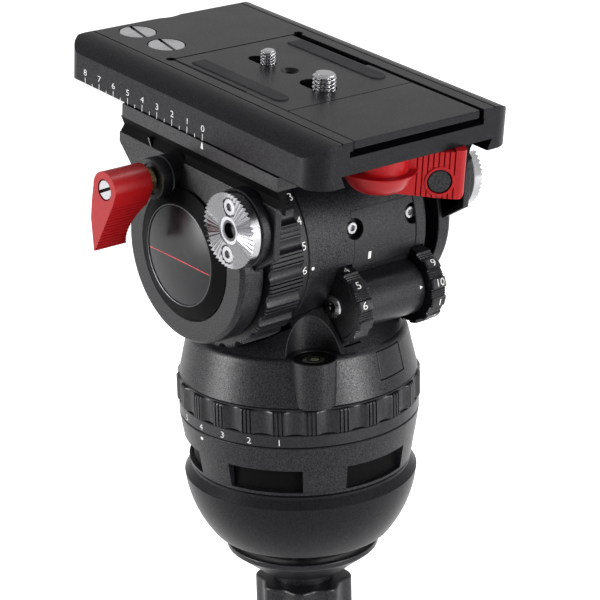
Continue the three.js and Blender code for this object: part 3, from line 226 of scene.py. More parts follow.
# Materials
def node(tree, kind, **values):
    """Shader node with its inputs set. An underscore stands for the space in an input's name."""
    new = tree.nodes.new("ShaderNode" + kind)
    for name, value in values.items():
        new.inputs[name.replace("_", " ")].default_value = value
    return new


def mapped(tree, source, span, result):
    """Value of the source moved from one range to another."""
    step = node(tree, "MapRange", From_Min=span[0], From_Max=span[1], To_Min=result[0], To_Max=result[1])
    tree.links.new(source, step.inputs["Value"])
    return step.outputs["Result"]


def relief(tree, height, depth):
    bump = node(tree, "Bump", Strength=1, Distance=depth * MM)
    tree.links.new(height, bump.inputs["Height"])
    return bump.outputs["Normal"]


def finish(name, dark, light, rough, metallic=0.0, grain=1500.0, bump=0.0, stretch=(1, 1, 1), spec=0.5,
           sparkle=0.0, centre=None):
    """Finish with fine noise in colour, roughness and relief. A centre adds the rings of a turned face."""
    mat = bpy.data.materials.new(name)
    mat.use_nodes = True
    tree = mat.node_tree
    link = tree.links.new
    shader = tree.nodes["Principled BSDF"]
    where = node(tree, "TexCoord").outputs["Object"]
    mapping = node(tree, "Mapping", Scale=stretch)
    fine = node(tree, "TexNoise", Scale=grain, Detail=4)
    broad = node(tree, "TexNoise", Scale=60, Detail=3)
    link(where, mapping.inputs["Vector"])
    link(mapping.outputs["Vector"], fine.inputs["Vector"])
    link(where, broad.inputs["Vector"])
    ramp = node(tree, "ValToRGB")
    for stop, position, colour in zip(ramp.color_ramp.elements, (0.3, 0.72), (dark, light)):
        stop.position = position
        stop.color = (*colour, 1)
    link(fine.outputs["Fac"], ramp.inputs["Fac"])
    link(ramp.outputs["Color"], shader.inputs["Base Color"])
    both = node(tree, "Math")
    both.operation = "MULTIPLY"
    link(fine.outputs["Fac"], both.inputs[0])
    link(broad.outputs["Fac"], both.inputs[1])
    link(mapped(tree, both.outputs["Value"], (0.1, 0.45), rough), shader.inputs["Roughness"])
    if bump:
        link(relief(tree, fine.outputs["Fac"], bump), shader.inputs["Normal"])
    if centre:
        spot = node(tree, "Mapping", Location=(-centre[0], -centre[1], 0))
        wave = node(tree, "TexWave", Scale=700)
        wave.wave_type = "RINGS"
        wave.rings_direction = "Z"
        link(where, spot.inputs["Vector"])
        link(spot.outputs["Vector"], wave.inputs["Vector"])
        link(relief(tree, wave.outputs["Fac"], .03), shader.inputs["Normal"])
    shader.inputs["Metallic"].default_value = metallic
    shader.inputs["Specular IOR Level"].default_value = spec
    if sparkle:
        specs = (spec * (1 - sparkle), spec * (1 + sparkle * 2))
        link(mapped(tree, fine.outputs["Fac"], (.38, .66), specs), shader.inputs["Specular IOR Level"])
    return mat


BLACK = {"dark": (.002, .002, .003), "light": (.005, .005, .006), "sparkle": .3}
SATIN = finish("black_satin", rough=(.33, .40), grain=2400, bump=.008, spec=.19, **BLACK)
POLYMER = finish("black_polymer", rough=(.34, .42), bump=.01, spec=.20, **BLACK)
ANODISED = finish("black_anodised", (.001, .001, .002), (.004, .004, .005), (.33, .39), grain=2600,
                  bump=.008, spec=.10, sparkle=.3)
CASTING = finish("textured_black", (.001, .001, .002), (.006, .006, .007), (.35, .42), grain=2500,
                 bump=.025, spec=.17, sparkle=.5)
GREY = finish("grey_anodised", (.004, .004, .005), (.010, .010, .011), (.38, .46), grain=2000,
              bump=.015, spec=.18, sparkle=.3)
# Near-black finish: the real black of the bezel cones, level ring and level circle, and painted shade laid
# in the base recesses, the cheek groove, the screw slots and the star sockets
BLACK_AND_SHADE = finish("deep_black_and_painted_shade", (.0005, .0005, .0005), (.002, .002, .002), (.5, .7), grain=1800,
              bump=.02, spec=.03)
GLOSS = finish("gloss_black", (.001, .001, .002), (.004, .004, .005), (.20, .28), grain=300, spec=.18)
RUBBER = finish("black_rubber", (.008, .008, .009), (.018, .018, .020), (.6, .8), grain=1100,
                bump=.10, spec=.15)
RED = finish("red_anodised", (.17, .001, .002), (.26, .003, .005), (.30, .40), grain=2400,
             bump=.010, spec=.16)
RED_PAINT = finish("red_paint", (.36, .010, .014), (.52, .02, .03), (.35, .5), spec=.3)
WHITE = finish("white_paint", (.40, .40, .39), (.54, .54, .53), (.45, .6), spec=.2)
LIQUID = finish("level_liquid", (.020, .022, .018), (.045, .048, .040), (.14, .20), grain=200, spec=.3)
BUBBLE = finish("bubble", (.05, .06, .035), (.09, .10, .06), (.15, .2), grain=200, spec=.3)
METAL = {"metallic": 1, "grain": 2600}
SILVER = finish("machined_silver", (.28, .28, .29), (.40, .40, .41), (.16, .24), **METAL)
STEEL = finish("turned_steel", (.22, .22, .23), (.34, .34, .35), (.20, .32), bump=.003,
               stretch=(1, 1, .3), **METAL)
BRASS = finish("turned_brass", (.24, .18, .09), (.34, .26, .13), (.24, .38), metallic=1, grain=1600,
               bump=.006)
EDGE = finish("dull_edge", (.03, .03, .032), (.06, .06, .063), (.3, .4), metallic=1, grain=2000)


# Numerals and marks
class Marks:
    """Flat painted marks that are laid on a surface by a function of (u, v) in millimetres."""

    def __init__(self, name, place=BASE):
        self.name = name
        self.place = place
        self.verts = []
        self.faces = []

    def polygon(self, points, lay):
        start = len(self.verts)
        self.verts += [lay(u, v) for u, v in points]
        self.faces.append(tuple(range(start, len(self.verts))))

    def bar(self, u0, v0, u1, v1, lay):
        self.polygon([(u0, v0), (u1, v0), (u1, v1), (u0, v1)], lay)

    def dot(self, r, lay):
        self.polygon(circle(r, 24), lay)

    def text(self, words, size, lay, squeeze=1.0, u=0, v=0):
        curve = bpy.data.curves.new("word", "FONT")
        curve.body = words
        curve.size = size
        curve.align_x = "CENTER"
        curve.align_y = "CENTER"
        curve.resolution_u = 6
        curve.offset = -0.006 * size
        word = linked("word", curve)
        mesh = final_mesh(word)
        start = len(self.verts)
        self.verts += [lay(u + p.co.x * squeeze, v + p.co.y) for p in mesh.vertices]
        self.faces += [tuple(start + i for i in f.vertices) for f in mesh.polygons]
        bpy.data.objects.remove(word)
        bpy.data.curves.remove(curve)
        bpy.data.meshes.remove(mesh)

    def done(self, body, slot):
        put(make(self.name, self.verts, self.faces, self.place), body, slot, WHITE)


def on_turn_z(radius, angle, height, lift=0.06):
    def lay(u, v):
        at = angle + math.degrees(u / radius)
        return (radius + lift) * cosd(at), (radius + lift) * sind(at), height + v
    return lay


def on_turn_x(radius, x, angle, cy=0.0, cz=0.0, lift=0.06):
    def lay(u, v):
        at = angle + math.degrees(v / radius)
        return x + u, cy - (radius + lift) * cosd(at), cz + (radius + lift) * sind(at)
    return lay


# Grips of the two drag rings
def grip_outline(radius, count, scallop_share, depth, groove_depth, phase=0.0):
    """Shallow scallops with grooved lands between them."""
    grooves = 3
    points = []
    step = 360 / count
    scallop = step * scallop_share
    land = step - scallop
    width = land / grooves
    for i in range(count):
        start = i * step + phase
        for k in range(1, 10):
            share = k / 10
            points.append((start + scallop * share, depth * (1 - (share * 2 - 1) ** 2)))
        for k in range(grooves):
            at = start + scallop + width * k
            for share, down in ((0, 0), (.3, 0), (.42, 1), (.58, 1), (.7, 0)):
                points.append((at + width * share, groove_depth * down))
        points.append((start + step, 0))
    return [((radius - d) * cosd(a), (radius - d) * sind(a)) for a, d in points]


def grip(name, outline, ring, end_scales, axis="Z", place=BASE):
    """Grip around the ring's bore, drawn in a little at its two ends."""
    first, last = end_scales
    sections = [(ring.low, first), (ring.low + .7, 1), (ring.high - .7, 1), (ring.high, last)]
    inner = [(ring.bore * u / math.hypot(u, v), ring.bore * v / math.hypot(u, v)) for u, v in outline]
    rings = [[axis_point(axis, u, v, ring.low) for u, v in inner]]
    for along, scale in sections:
        rings.append([axis_point(axis, u * scale, v * scale, along) for u, v in outline])
    rings.append([axis_point(axis, u, v, ring.high) for u, v in inner])
    return loft(name, rings, place, wrap=True)


# Half ball, stud, cup and knob
ball = Sizes(radius=50, rim=46.9, bore=6.3, floor=-32, first=-5.74, last=-39.2)
profile = [(ball.bore, 0), (ball.rim - .5, 0), (ball.rim, -.5), (ball.rim, -1.6),
           *arc(0, 0, ball.radius, ball.first, ball.last, 24), (38.0, ball.floor), (ball.bore, ball.floor)]
put(turn("half_ball_shell", profile), "base", "anodised", ANODISED, "half_ball")


def threaded(name, r, lo, hi, pitch, depth, tip, centre=(0, 0), place=BASE):
    """Screw thread: a blunt groove along a helix that runs out at both ends."""
    segs, steps = 72, 16
    steepness, blunt = 3.4, 1.25
    rings = []
    count = max(2, int((hi - lo) / pitch * steps))
    for k in range(count + 1):
        z = lo + (hi - lo) * k / count
        near = min(1, (hi - z) / tip, (z - lo) / tip)
        ring = []
        for i, (x, y) in enumerate(circle(1, segs)):
            phase = (z / pitch - i / segs) % 1
            groove = depth * min(1, max(0, blunt - abs(phase - .5) * steepness))
            radius = r - groove - (1 - near) * depth
            ring.append((centre[0] + radius * x, centre[1] + radius * y, z))
        rings.append(ring)
    return loft(name, rings, place)


stud = threaded("tie_down_stud_thread", 5.9, -86, -30, pitch=1.75, depth=.9, tip=1.2)
put(stud, "base", "steel", STEEL, "tie_down_stud")
cup = turn("clamp_cup_body", [(ball.bore, -51), (20, -51), (33, -40.5), (33, -38), (28, -38), (15, -46),
                              (ball.bore, -46)])
put(rounded(cup, .6), "clamp_cup", "anodised", SATIN, "clamp_cup")
knob = Sizes(radius=21, lobes=8, points=160, dip=.12, bottom=-81.3, top=-57.3)
outline = []
for i, (x, y) in enumerate(circle(knob.radius, knob.points)):
    wave = 1 - knob.dip * (1 - math.cos(math.tau * i * knob.lobes / knob.points)) / 2
    outline.append((x * wave, y * wave))
knob_grip = rounded(prism("tie_down_knob_grip", outline, "Z", knob.bottom, knob.top), 1.2)
add(knob_grip, rod("collar", 13, -60, -51.3))
cut(knob_grip, rod("bore", 6.4, -90, -40))
put(knob_grip, "tie_down_knob", "polymer", POLYMER, "tie_down_knob")

# Fixed base with its recesses, their floors darkened with painted shade
base = Sizes(bottom=.3, top=39.8, inside=30, shelf=22.9, core=45.5)
recess = Sizes(count=6, first=-87.4, half=19, radius=45.4, low=2.06, high=12.34, corner=.05)
recess.pitch = 360 / recess.count
recess.middles = [recess.first + recess.pitch * i for i in range(recess.count)]


def in_recess(a):
    return any(abs((a - middle + 180) % 360 - 180) <= recess.half for middle in recess.middles)


angles = []
for middle in recess.middles:
    start, end = middle - recess.half, middle + recess.half
    angles += [start - recess.corner, start + recess.corner]
    angles += [start + 2 * recess.half * k / 16 for k in range(1, 16)]
    angles += [end - recess.corner, end + recess.corner]
    angles += [end + (recess.pitch - 2 * recess.half) * k / 9 for k in range(1, 9)]
wall = [(47.0, base.bottom), (47.3, .6), (47.3, 1.7), (47.6, 2), (47.6, recess.low), (49.3, recess.high),
        (49.4, 12.4), (50.6, 20), (51, 22.5), (50.7, base.shelf)]
profile = [(base.inside, base.bottom), *wall, (base.core, base.shelf), (base.core, base.top),
           (base.inside, base.top)]
rings = []
for r, z in profile:
    open_here = z in (recess.low, recess.high)
    radii = [recess.radius if open_here and in_recess(a) else r for a in angles]
    rings.append([(radius * cosd(a), radius * sind(a), z) for radius, a in zip(radii, angles)])
put(loft("fixed_base_shell", rings, wrap=True), "base", "casting", CASTING, "fixed_base")
# Painted shade: a near-black sheet laid on each recess floor darkens the recess
for i, middle in enumerate(recess.middles):
    points = arc(0, 0, recess.radius + .15, middle - recess.half + .1, middle + recess.half - .1, 16)
    verts = [(x, y, z) for z in (2.2, 12.2) for x, y in points]
    n = len(points)
    faces = [(k, k + 1, n + k + 1, n + k) for k in range(n - 1)]
    put(make(f"base_recess_painted_shade_{i}", verts, faces), "base", "casting", BLACK_AND_SHADE)
marks = Marks("base_index_dot")
marks.dot(.9, on_turn_z(50.63, 177.6, 20.4, .08))
marks.done("base", "casting")

# Pan drag ring
pan_ring = Sizes(bore=45.8, grip=51.7, band=51, scallops=24, low=28.4, high=38.9)
scallop_phase = 41.1 - 360 / pan_ring.scallops * .81
outline = grip_outline(pan_ring.grip, pan_ring.scallops, .62, 1.5, .7, scallop_phase)
ring = grip("pan_drag_ring_grip", outline, pan_ring, (.985, .99))
put(ring, "pan_drag_ring", "satin", SATIN, "pan_drag_ring")
band = tube("pan_drag_ring_band", pan_ring.bore, pan_ring.band, 23.2, 28.6, segs=192, edge=.35)
put(band, "pan_drag_ring", "satin", SATIN)
lip = tube("pan_drag_ring_lip", pan_ring.bore, 50.3, 38.8, 39.8, segs=192, edge=.3)
put(lip, "pan_drag_ring", "satin", SATIN)
marks = Marks("pan_drag_numerals")
for word, a in (("6", 150), ("5", 164.1), ("4", 178), ("3", -167.7), ("2", -153.3), ("1", -138.8)):
    marks.text(word, 3.8, on_turn_z(pan_ring.band, a, 25.4), 1.2)
marks.done("pan_drag_ring", "satin")

# Places shared by the pan housing, the tilt housing and the counterbalance unit
housing = Sizes(radius=38.7, left=-24.4, right=32.6, core=33, end=46.2)
tilt_ring = Sizes(bore=33.3, grip=41.4, scallops=24, low=-46, high=-29, number_step=15.1)
half_width = 51.7
unit = Sizes(radius=12, distance=43.1, below=35.3, dial=16.6, left_dial=-9.4, right_dial=30.3)
unit.centre = (-unit.distance * cosd(unit.below), -unit.distance * sind(unit.below))
level = Sizes(distance=44.5, azimuth=-121, boss=9.2, niche=11.4, seat=7.1, rim=8.2)
level.x = level.distance * cosd(level.azimuth)
level.y = level.distance * sind(level.azimuth)
level.centre = (level.x, level.y)
pan_lever = Sizes(azimuth=45, height=48.5, reach=55.7)
AT_PAN_LEVER = Matrix.Rotation(math.radians(pan_lever.azimuth), 4, "Z")


def dial_space(start):
    return axis_rod("dial", unit.dial + 2 * GAP, start - GAP, start + 7.6 + GAP, unit.centre, 96)


# Pan housing
pan_wall = Sizes(low=40.1, low_radius=50.4, high=57, high_radius=46.6)
shoulder = Sizes(low=59.7, low_radius=44.4, high=75.6, high_radius=31.6)


def wall_radius(z):
    share = (z - pan_wall.low) / (pan_wall.high - pan_wall.low)
    return pan_wall.low_radius + (pan_wall.high_radius - pan_wall.low_radius) * share


body = turn("pan_housing_shell", [
    (0, pan_wall.low), (pan_wall.low_radius - .3, pan_wall.low), (pan_wall.low_radius, pan_wall.low + .3),
    (46.75, 56.6), (46.4, 57.6), (45.9, 58.7), (44.9, 59.5), (shoulder.low_radius, shoulder.low),
    (shoulder.high_radius, shoulder.high), (30.6, 76.6), (29.6, 77), (0, 77)], segs=256)
at_boss = AT_PAN_LEVER @ Matrix.Translation((0, 0, pan_lever.height))
add(body, rod("boss", level.boss, 40.4, 59.6, "Z", level.centre, 96),
    rod("boss", 8.5, 39, 51.5, "X", (0, 0), 96, at_boss))
cut(body, rod("niche", level.niche, 59.6, 80, "Z", level.centre, 128),
    axis_rod("space", tilt_ring.grip + 2 * GAP, -half_width, housing.left),
    axis_rod("space", housing.radius + GAP, -27.4, half_width),
    dial_space(unit.left_dial), dial_space(unit.right_dial),
    axis_rod("space", unit.radius + GAP, -2, 31, unit.centre, 96))
cut(body, rod("seat", level.seat, 53.9, 62, "Z", level.centre, 96),
    rod("rim", level.rim, 58.8, 62, "Z", level.centre, 96))
rounded(body, .35, 2)

# Cover plate let into the pan housing's wall, with a dark seam around it
cover = Sizes(first=-85.7, last=-67, low=46, high=57.4, reach=55)


def cover_zone(gap):
    g = math.degrees(gap / pan_wall.high_radius)
    outline = [(0, 0), *arc(0, 0, cover.reach, cover.first - g, cover.last + g, 12)]
    return prism("zone", outline, "Z", cover.low - gap, cover.high + gap)


def wall_shell(inset, lo, hi):
    profile = [(0, lo), (wall_radius(lo) - inset, lo), (wall_radius(hi) - inset, hi), (0, hi)]
    return turn("wall", profile, segs=256)


seam = cut(wall_shell(-.4, 45.6, 57.8), wall_shell(1.2, 44, 59))
common(seam, cover_zone(.3))
cut(body, seam)
put(body, "pan", "casting", CASTING, "pan_housing")
plate = cut(wall_shell(.02, cover.low, cover.high), wall_shell(1.2, 45, 59))
common(plate, cover_zone(-.12))
put(rounded(plate, .2, 2), "pan", "satin", SATIN, "pan_cover_plate")

# Bright edge where the level's bore breaks out of the sloping shoulder
slope = (shoulder.high - shoulder.low) / (shoulder.low_radius - shoulder.high_radius)
path = []
for x, y in arc(level.x, level.y, level.niche, -81, 199, 96):
    rho = math.hypot(x, y)
    if shoulder.high_radius < rho < shoulder.low_radius - .2:
        path.append(Vector((x, y, shoulder.low + (shoulder.low_radius - rho) * slope)))
rings = []
for k, spot in enumerate(path):
    ahead = (path[min(k + 1, len(path) - 1)] - path[max(k - 1, 0)]).normalized()
    out = ahead.cross(Vector((level.x, level.y, 0))).normalized()
    over = out.cross(ahead)
    rings.append([spot + out * .22 * cosd(a) + over * .22 * sind(a) for a in range(0, 360, 45)])
put(loft("level_niche_edge", rings), "pan", "casting", EDGE)

# Level: black ring, liquid, circle and bubble
put(tube("level_ring", 5.6, 8.0, 58.2, 59.5, "Z", level.centre, 96, edge=.3), "pan", "polymer", BLACK_AND_SHADE)
vial = [(0, 54.2), (5.9, 54.2), (5.9, 58.2), (5.4, 58.6), (3.5, 58.9), (0, 59.05)]
put(turn("level_liquid", vial, "Z", level.centre, 96), "pan", "glass", LIQUID, "level_vial")
put(tube("level_circle", 2.5, 2.8, 58.9, 59.12, "Z", level.centre, 64), "pan", "glass", BLACK_AND_SHADE)
bubble = [(0, 58.9), (1.7, 59.0), (1.5, 59.2), (.8, 59.3), (0, 59.33)]
bubble_centre = (level.x + .3, level.y - .2)
put(turn("level_bubble", bubble, "Z", bubble_centre, 48), "pan", "glass", BUBBLE)

# Tilt housing, cover panel and side ring
panel = Sizes(left=-.8, right=32.3, above=20.6, below=15.9, depth=1.1, seam=.18)
pocket = Sizes(places=(.1, 31.4), height=6.5, radius=4.4, depth=4.4)


def panel_zone(gap, lo, hi):
    g = math.degrees(gap / housing.radius)
    first, last = 180 - panel.above - g, 180 + panel.below + g
    outline = arc(0, 0, 45, first, last, 24) + arc(0, 0, 34, last, first, 24)
    return prism("zone", outline, "X", lo, hi, AXIS)


def pockets():
    floor = pocket.depth - housing.radius
    return [rod("pocket", pocket.radius, -45, floor, "Y", (x, pocket.height), 64, AXIS)
            for x in pocket.places]


def panel_shell(name, lift, lo, hi):
    core = axis_rod("core", housing.radius - panel.depth, -9, 40, segs=256)
    return cut(axis_rod(name, housing.radius + lift, lo, hi, segs=256), core)


drum = axis_turn("tilt_housing_drum", [
    (0, -housing.end), (housing.core, -housing.end), (housing.core, housing.left),
    *wall_of(housing.radius, housing.left, housing.right, .3), (30, housing.right), (30, housing.end),
    (0, housing.end)])
shell = panel_shell("shell", .2, panel.left - panel.seam, 36)
common(shell, panel_zone(panel.seam, -1, 40))
cut(drum, shell, *pockets())
cut(drum, dial_space(unit.left_dial), dial_space(unit.right_dial))
put(drum, "pan", "casting", CASTING, "tilt_housing")
skin = panel_shell("balance_cover_skin", .02, panel.left, panel.right)
common(skin, panel_zone(0, -5, 40))
rounded(skin, .25, 2)
cut(skin, *pockets(), dial_space(unit.right_dial))
put(skin, "pan", "satin", SATIN, "balance_cover_panel")
for i, x in enumerate(pocket.places):
    head = [(0, -34.4), (2.6, -34.4), (2.6, -36.2), (2.3, -36.5), (1.3, -36.5), (1.2, -35.4), (0, -35.4)]
    put(turn(f"pocket_screw_{i}", head, "Y", (x, pocket.height), 48, AXIS), "pan", "steel", STEEL)
side_ring = Sizes(bore=30.3, low=32.9, middle=37.3, high=38.9)
ring = axis_turn("side_ring_body", [
    (side_ring.bore, side_ring.low), *wall_of(housing.radius, side_ring.low, side_ring.middle, .3),
    (38, 37.4), (38, 38.6), (37.7, side_ring.high), (side_ring.bore, side_ring.high)])
cut(ring, dial_space(unit.right_dial))
put(ring, "pan", "satin", SATIN, "side_ring")
tilt_index = -7.3
marks = Marks("housing_marks", AXIS)
marks.dot(.75, on_turn_x(housing.radius, -22.5, tilt_index))
marks.bar(0, -1.6, 1.5, 1.6, on_turn_x(housing.radius + .02, 6.8, -9))
marks.done("pan", "casting")

# Tilt drag ring
outline = grip_outline(tilt_ring.grip, tilt_ring.scallops, .5, 1.4, .8)
ring = grip("tilt_drag_ring_grip", outline, tilt_ring, (.985, .985), "X", AXIS)
put(ring, "tilt_drag_ring", "satin", SATIN, "tilt_drag_ring")
band = tube("tilt_drag_ring_band", tilt_ring.bore, housing.radius, -29.2, housing.left - GAP, "X",
            segs=192, place=AXIS, edge=.3)
put(band, "tilt_drag_ring", "satin", SATIN)
marks = Marks("tilt_drag_numerals", AXIS)
for i, word in enumerate("6543210"):
    lay = on_turn_x(housing.radius, -26.8, tilt_index + tilt_ring.number_step * i)
    marks.text(word, 4.8, lay, 1.1)
marks.done("tilt_drag_ring", "satin")

# Counterbalance unit
barrel = axis_rod("counterbalance_barrel_body", unit.radius, -1.5, 30, unit.centre, edge=.3)
cut(barrel, axis_rod("space", housing.radius + GAP, -20, 40))
put(barrel, "pan", "satin", SATIN, "counterbalance_barrel")


def dial_outline(middle):
    """Plain lobes for the numbers and ribbed valleys between them, with one lobe centred on middle."""
    lobes, lobe_share, ribs = 12, .46, 4
    points = []
    step = 360 / lobes
    lobe = step * lobe_share
    rib = (step - lobe) / (ribs + .24)
    for i in range(lobes):
        start = i * step + 180 - middle - lobe / 2
        for k in range(7):
            points.append((start + lobe * k / 6, 0))
        for k in range(ribs):
            at = start + lobe + rib * (k + .12)
            for share, down in ((.1, .65), (.35, 1.0), (.5, 1.05), (.65, 1.0), (.9, .65)):
                points.append((at + rib * share, down))
    cy, cz = unit.centre
    return [(cy + (unit.dial - d) * cosd(a), cz + (unit.dial - d) * sind(a)) for a, d in points]


def dial(name, start, middle, numbers, x_text, hollow):
    cy, cz = unit.centre
    rings = []
    for s, x in ((.97, start), (1, start + .6), (1, start + 7), (.97, start + 7.6)):
        rings.append([(x, cy + (u - cy) * s, cz + (v - cz) * s) for u, v in dial_outline(middle)])
    body = loft(f"{name}_grip", rings, AXIS)
    cut(body, axis_rod("recess", 13.6, *hollow, unit.centre, 128))
    put(body, name, "polymer", POLYMER, name)
    marks = Marks(f"{name}_numerals", AXIS)
    for k, number in enumerate(numbers):
        if number:
            lay = on_turn_x(unit.dial, x_text, middle - 30 * k, cy, cz, .14)
            marks.text(number, 4.5, lay, 1.25 if len(number) < 2 else 1.05)
    marks.done(name, "polymer")


def dial_cap(name, lo, hi, side):
    """Flush plate in the dial's end, with a screw whose star socket is a dark star of painted shade."""
    put(axis_rod(f"{name}_plate", 13.4, lo, hi, unit.centre, 128, .3), "pan", "satin", SATIN, name)
    out = lo if side < 0 else hi
    profile = [(0, 0), (4.9, 0), (4.9, .5), (4.4, 1.0), (2.3, 1.2), (2.3, .2), (0, .2)]
    head = axis_turn(f"{name}_screw", [(r, out + side * w) for r, w in profile], unit.centre, 64)
    put(head, "pan", "steel", SILVER)
    cy, cz = unit.centre
    # Painted shade: a near-black star-shaped piece on the floor of the head's hollow stands for the socket's
    # hole
    star = []
    for k, (u, v) in enumerate(circle(1, 48)):
        r = 1.9 + .35 * math.cos(6 * math.tau * k / 48)
        star.append((cy + r * u, cz + r * v))
    lo, hi = sorted((out + side * .1, out + side * .45))
    put(prism(f"{name}_star", star, "X", lo, hi, AXIS), "pan", "steel", BLACK_AND_SHADE)


left_numbers = ["6"] + [""] * 5 + [str(k) for k in range(6)]
right_numbers = ["10"] + [str(k) for k in range(1, 9)] + ["", "", "9"]
dial("balance_dial_left", unit.left_dial, 12.5, left_numbers, -6.6, (-12, -7.5))
dial("balance_dial_right", unit.right_dial, 13.5, right_numbers, 34.4, (36, 40))
dial_cap("dial_cap_left", -9.4, -7.8, -1)
dial_cap("dial_cap_right", 36.3, 37.9, 1)
marks = Marks("barrel_arrows", AXIS)
for x, way in ((-.3, 1), (28.6, -1)):
    lay = on_turn_x(unit.radius, x, 11.5, *unit.centre)
    marks.polygon([(0, 0), (way * 1.5, .8), (way * 1.5, -.8)], lay)
marks.done("pan", "satin")

# Cheeks, bezels, dome caps and rosettes, from the tilt axis outwards on each side
FACES = {"left": 57.6, "right": 54.2}
cheek = Sizes(inner=48.5, outer=half_width, radius=37.4, rear=-48.8, front=53.3, top=34.7, drum_start=46.7)
rosette = Sizes(centre=(-31.5, 21.7), radius=15.1, face=61, teeth=48, points=384, boss=15.6, screws=9.8)
brake = Sizes(centre=(15.5, 28.3), boss=8.5, reach=67.7)
dome = Sizes(radius=20.4, rise=1.9, lift=2.1)


def turned(name, side, profile, centre=(0, 0), segs=192):
    """Turned about the tilt axis or a line beside it, with lengths counted outwards on its side."""
    return turn(name, [(r, side * w) for r, w in profile], "X", centre, segs, TILT)


def ends(side, lo, hi):
    return sorted((side * lo, side * hi))


def bored(name, side, r, lo, hi, centre, segs=96):
    return rod(name, r, *ends(side, lo, hi), "X", centre, segs, TILT)


def cheek_pieces(side, hand, face):
    outline = [(cheek.rear, 13), (cheek.rear, cheek.top), (cheek.front, cheek.top), (cheek.front, 30.2),
               (45.4, 23.1), *arc(0, 0, cheek.radius, 17, -187, 96)]
    plate = prism(f"{hand}_cheek_plate", outline, "X", *ends(side, cheek.inner, cheek.outer), TILT)
    put(rounded(plate, .5, 3, 30), "tilt", "casting", CASTING, f"{hand}_cheek")
    # Painted shade: a near-black V-shaped strip along the cheek stands for the shaded groove
    groove = [(46.8, 30.7), (51.2, 34.6), (49.4, 37.4), (51.2, 41.45), (46.8, 41.45)]
    painted_groove_shade = prism(f"{hand}_cheek_web", [(side * x, z) for x, z in groove], "Y", cheek.rear, 53.0, TILT)
    put(painted_groove_shade, "tilt", "casting", BLACK_AND_SHADE)
    drum = turned(f"{hand}_cheek_drum", side, [
        (0, cheek.drum_start), (cheek.radius - .3, cheek.drum_start),
        (cheek.radius, cheek.drum_start + .3), (cheek.radius, face - 2.2), (37.2, face - 1.6),
        (36.2, face - .25), (35.6, face), (0, face)], segs=256)
    rear, front = rosette.centre[0], brake.centre[0]
    low = 22
    slope = [(cheek.inner, 8), (face, 8), (face, low), (cheek.outer, cheek.top), (cheek.inner, cheek.top)]
    add(drum, prism("shoulder", [(side * x, z) for x, z in slope], "Y", rear, front, TILT))
    beyond = low - (cheek.top - low) * 3 / (face - cheek.outer)
    above = [(face + 3, beyond), (cheek.outer, cheek.top), (40, cheek.top), (40, 42), (face + 3, 42)]
    cut(drum, prism("above", [(side * x, z) for x, z in above], "Y", rear, front, TILT))
    hollow = [(0, face - 1.6), (27.6, face - 1.6), (27.6, face - .3), (27.9, face), (27.9, face + 3),
              (0, face + 3)]
    cut(drum, turned("recess", side, hollow, segs=256))
    put(drum, "tilt", "casting", CASTING)


def boss_pieces(side, hand):
    boss = [(0, cheek.inner), (rosette.boss, cheek.inner), (rosette.boss, 55.4),
            (rosette.boss - .4, 55.9), (0, 55.9)]
    put(turned(f"{hand}_rosette_boss", side, boss, rosette.centre, 128), "tilt", "casting", CASTING)
    knuckle = [(0, cheek.inner), (9.6, cheek.inner), (9.2, cheek.outer), (brake.boss, 52.6),
               (brake.boss, 57.6), (8.1, 58.0), (8.1, 58.4), (brake.boss, 58.8), (brake.boss, 62.7),
               (8.0, 63.5), (6.4, 63.5), (6.2, 63.2), (6.2, 62.6), (0, 62.6)]
    put(turned(f"{hand}_lever_boss", side, knuckle, brake.centre, 96), "tilt", "casting", SATIN)


def bezel_pieces(side, hand, face):
    def gap_for(part):
        return bored("gap", side, part.boss + GAP, face - 4, face + 6, part.centre)

    ring = turned(f"{hand}_bezel_cone", side, [
        (20.7, face - 1.2), (27.3, face - 1.2), (27.3, face), (22.0, face + 2.1), (21.5, face + 2.35),
        (20.7, face + 2.2)])
    cut(ring, gap_for(rosette), gap_for(brake))
    put(ring, "tilt", "steel", BLACK_AND_SHADE, f"{hand}_bezel")
    line = turned(f"{hand}_bezel_line", side, [
        (20.6, face + 1.8), (21.1, face + 1.9), (21.1, face + 2.4), (20.9, face + 2.5), (20.6, face + 2.4)])
    cut(line, gap_for(rosette))
    put(line, "tilt", "steel", EDGE)
    profile = [(0, face - 1.2), (dome.radius, face - 1.2)]
    for k in range(25):
        share = 1 - k / 24
        profile.append((dome.radius * share, face + dome.lift + dome.rise * (1 - share ** 2)))
    put(turned(f"{hand}_dome_gloss", side, profile), "tilt", "gloss", GLOSS, f"{hand}_dome_cap")


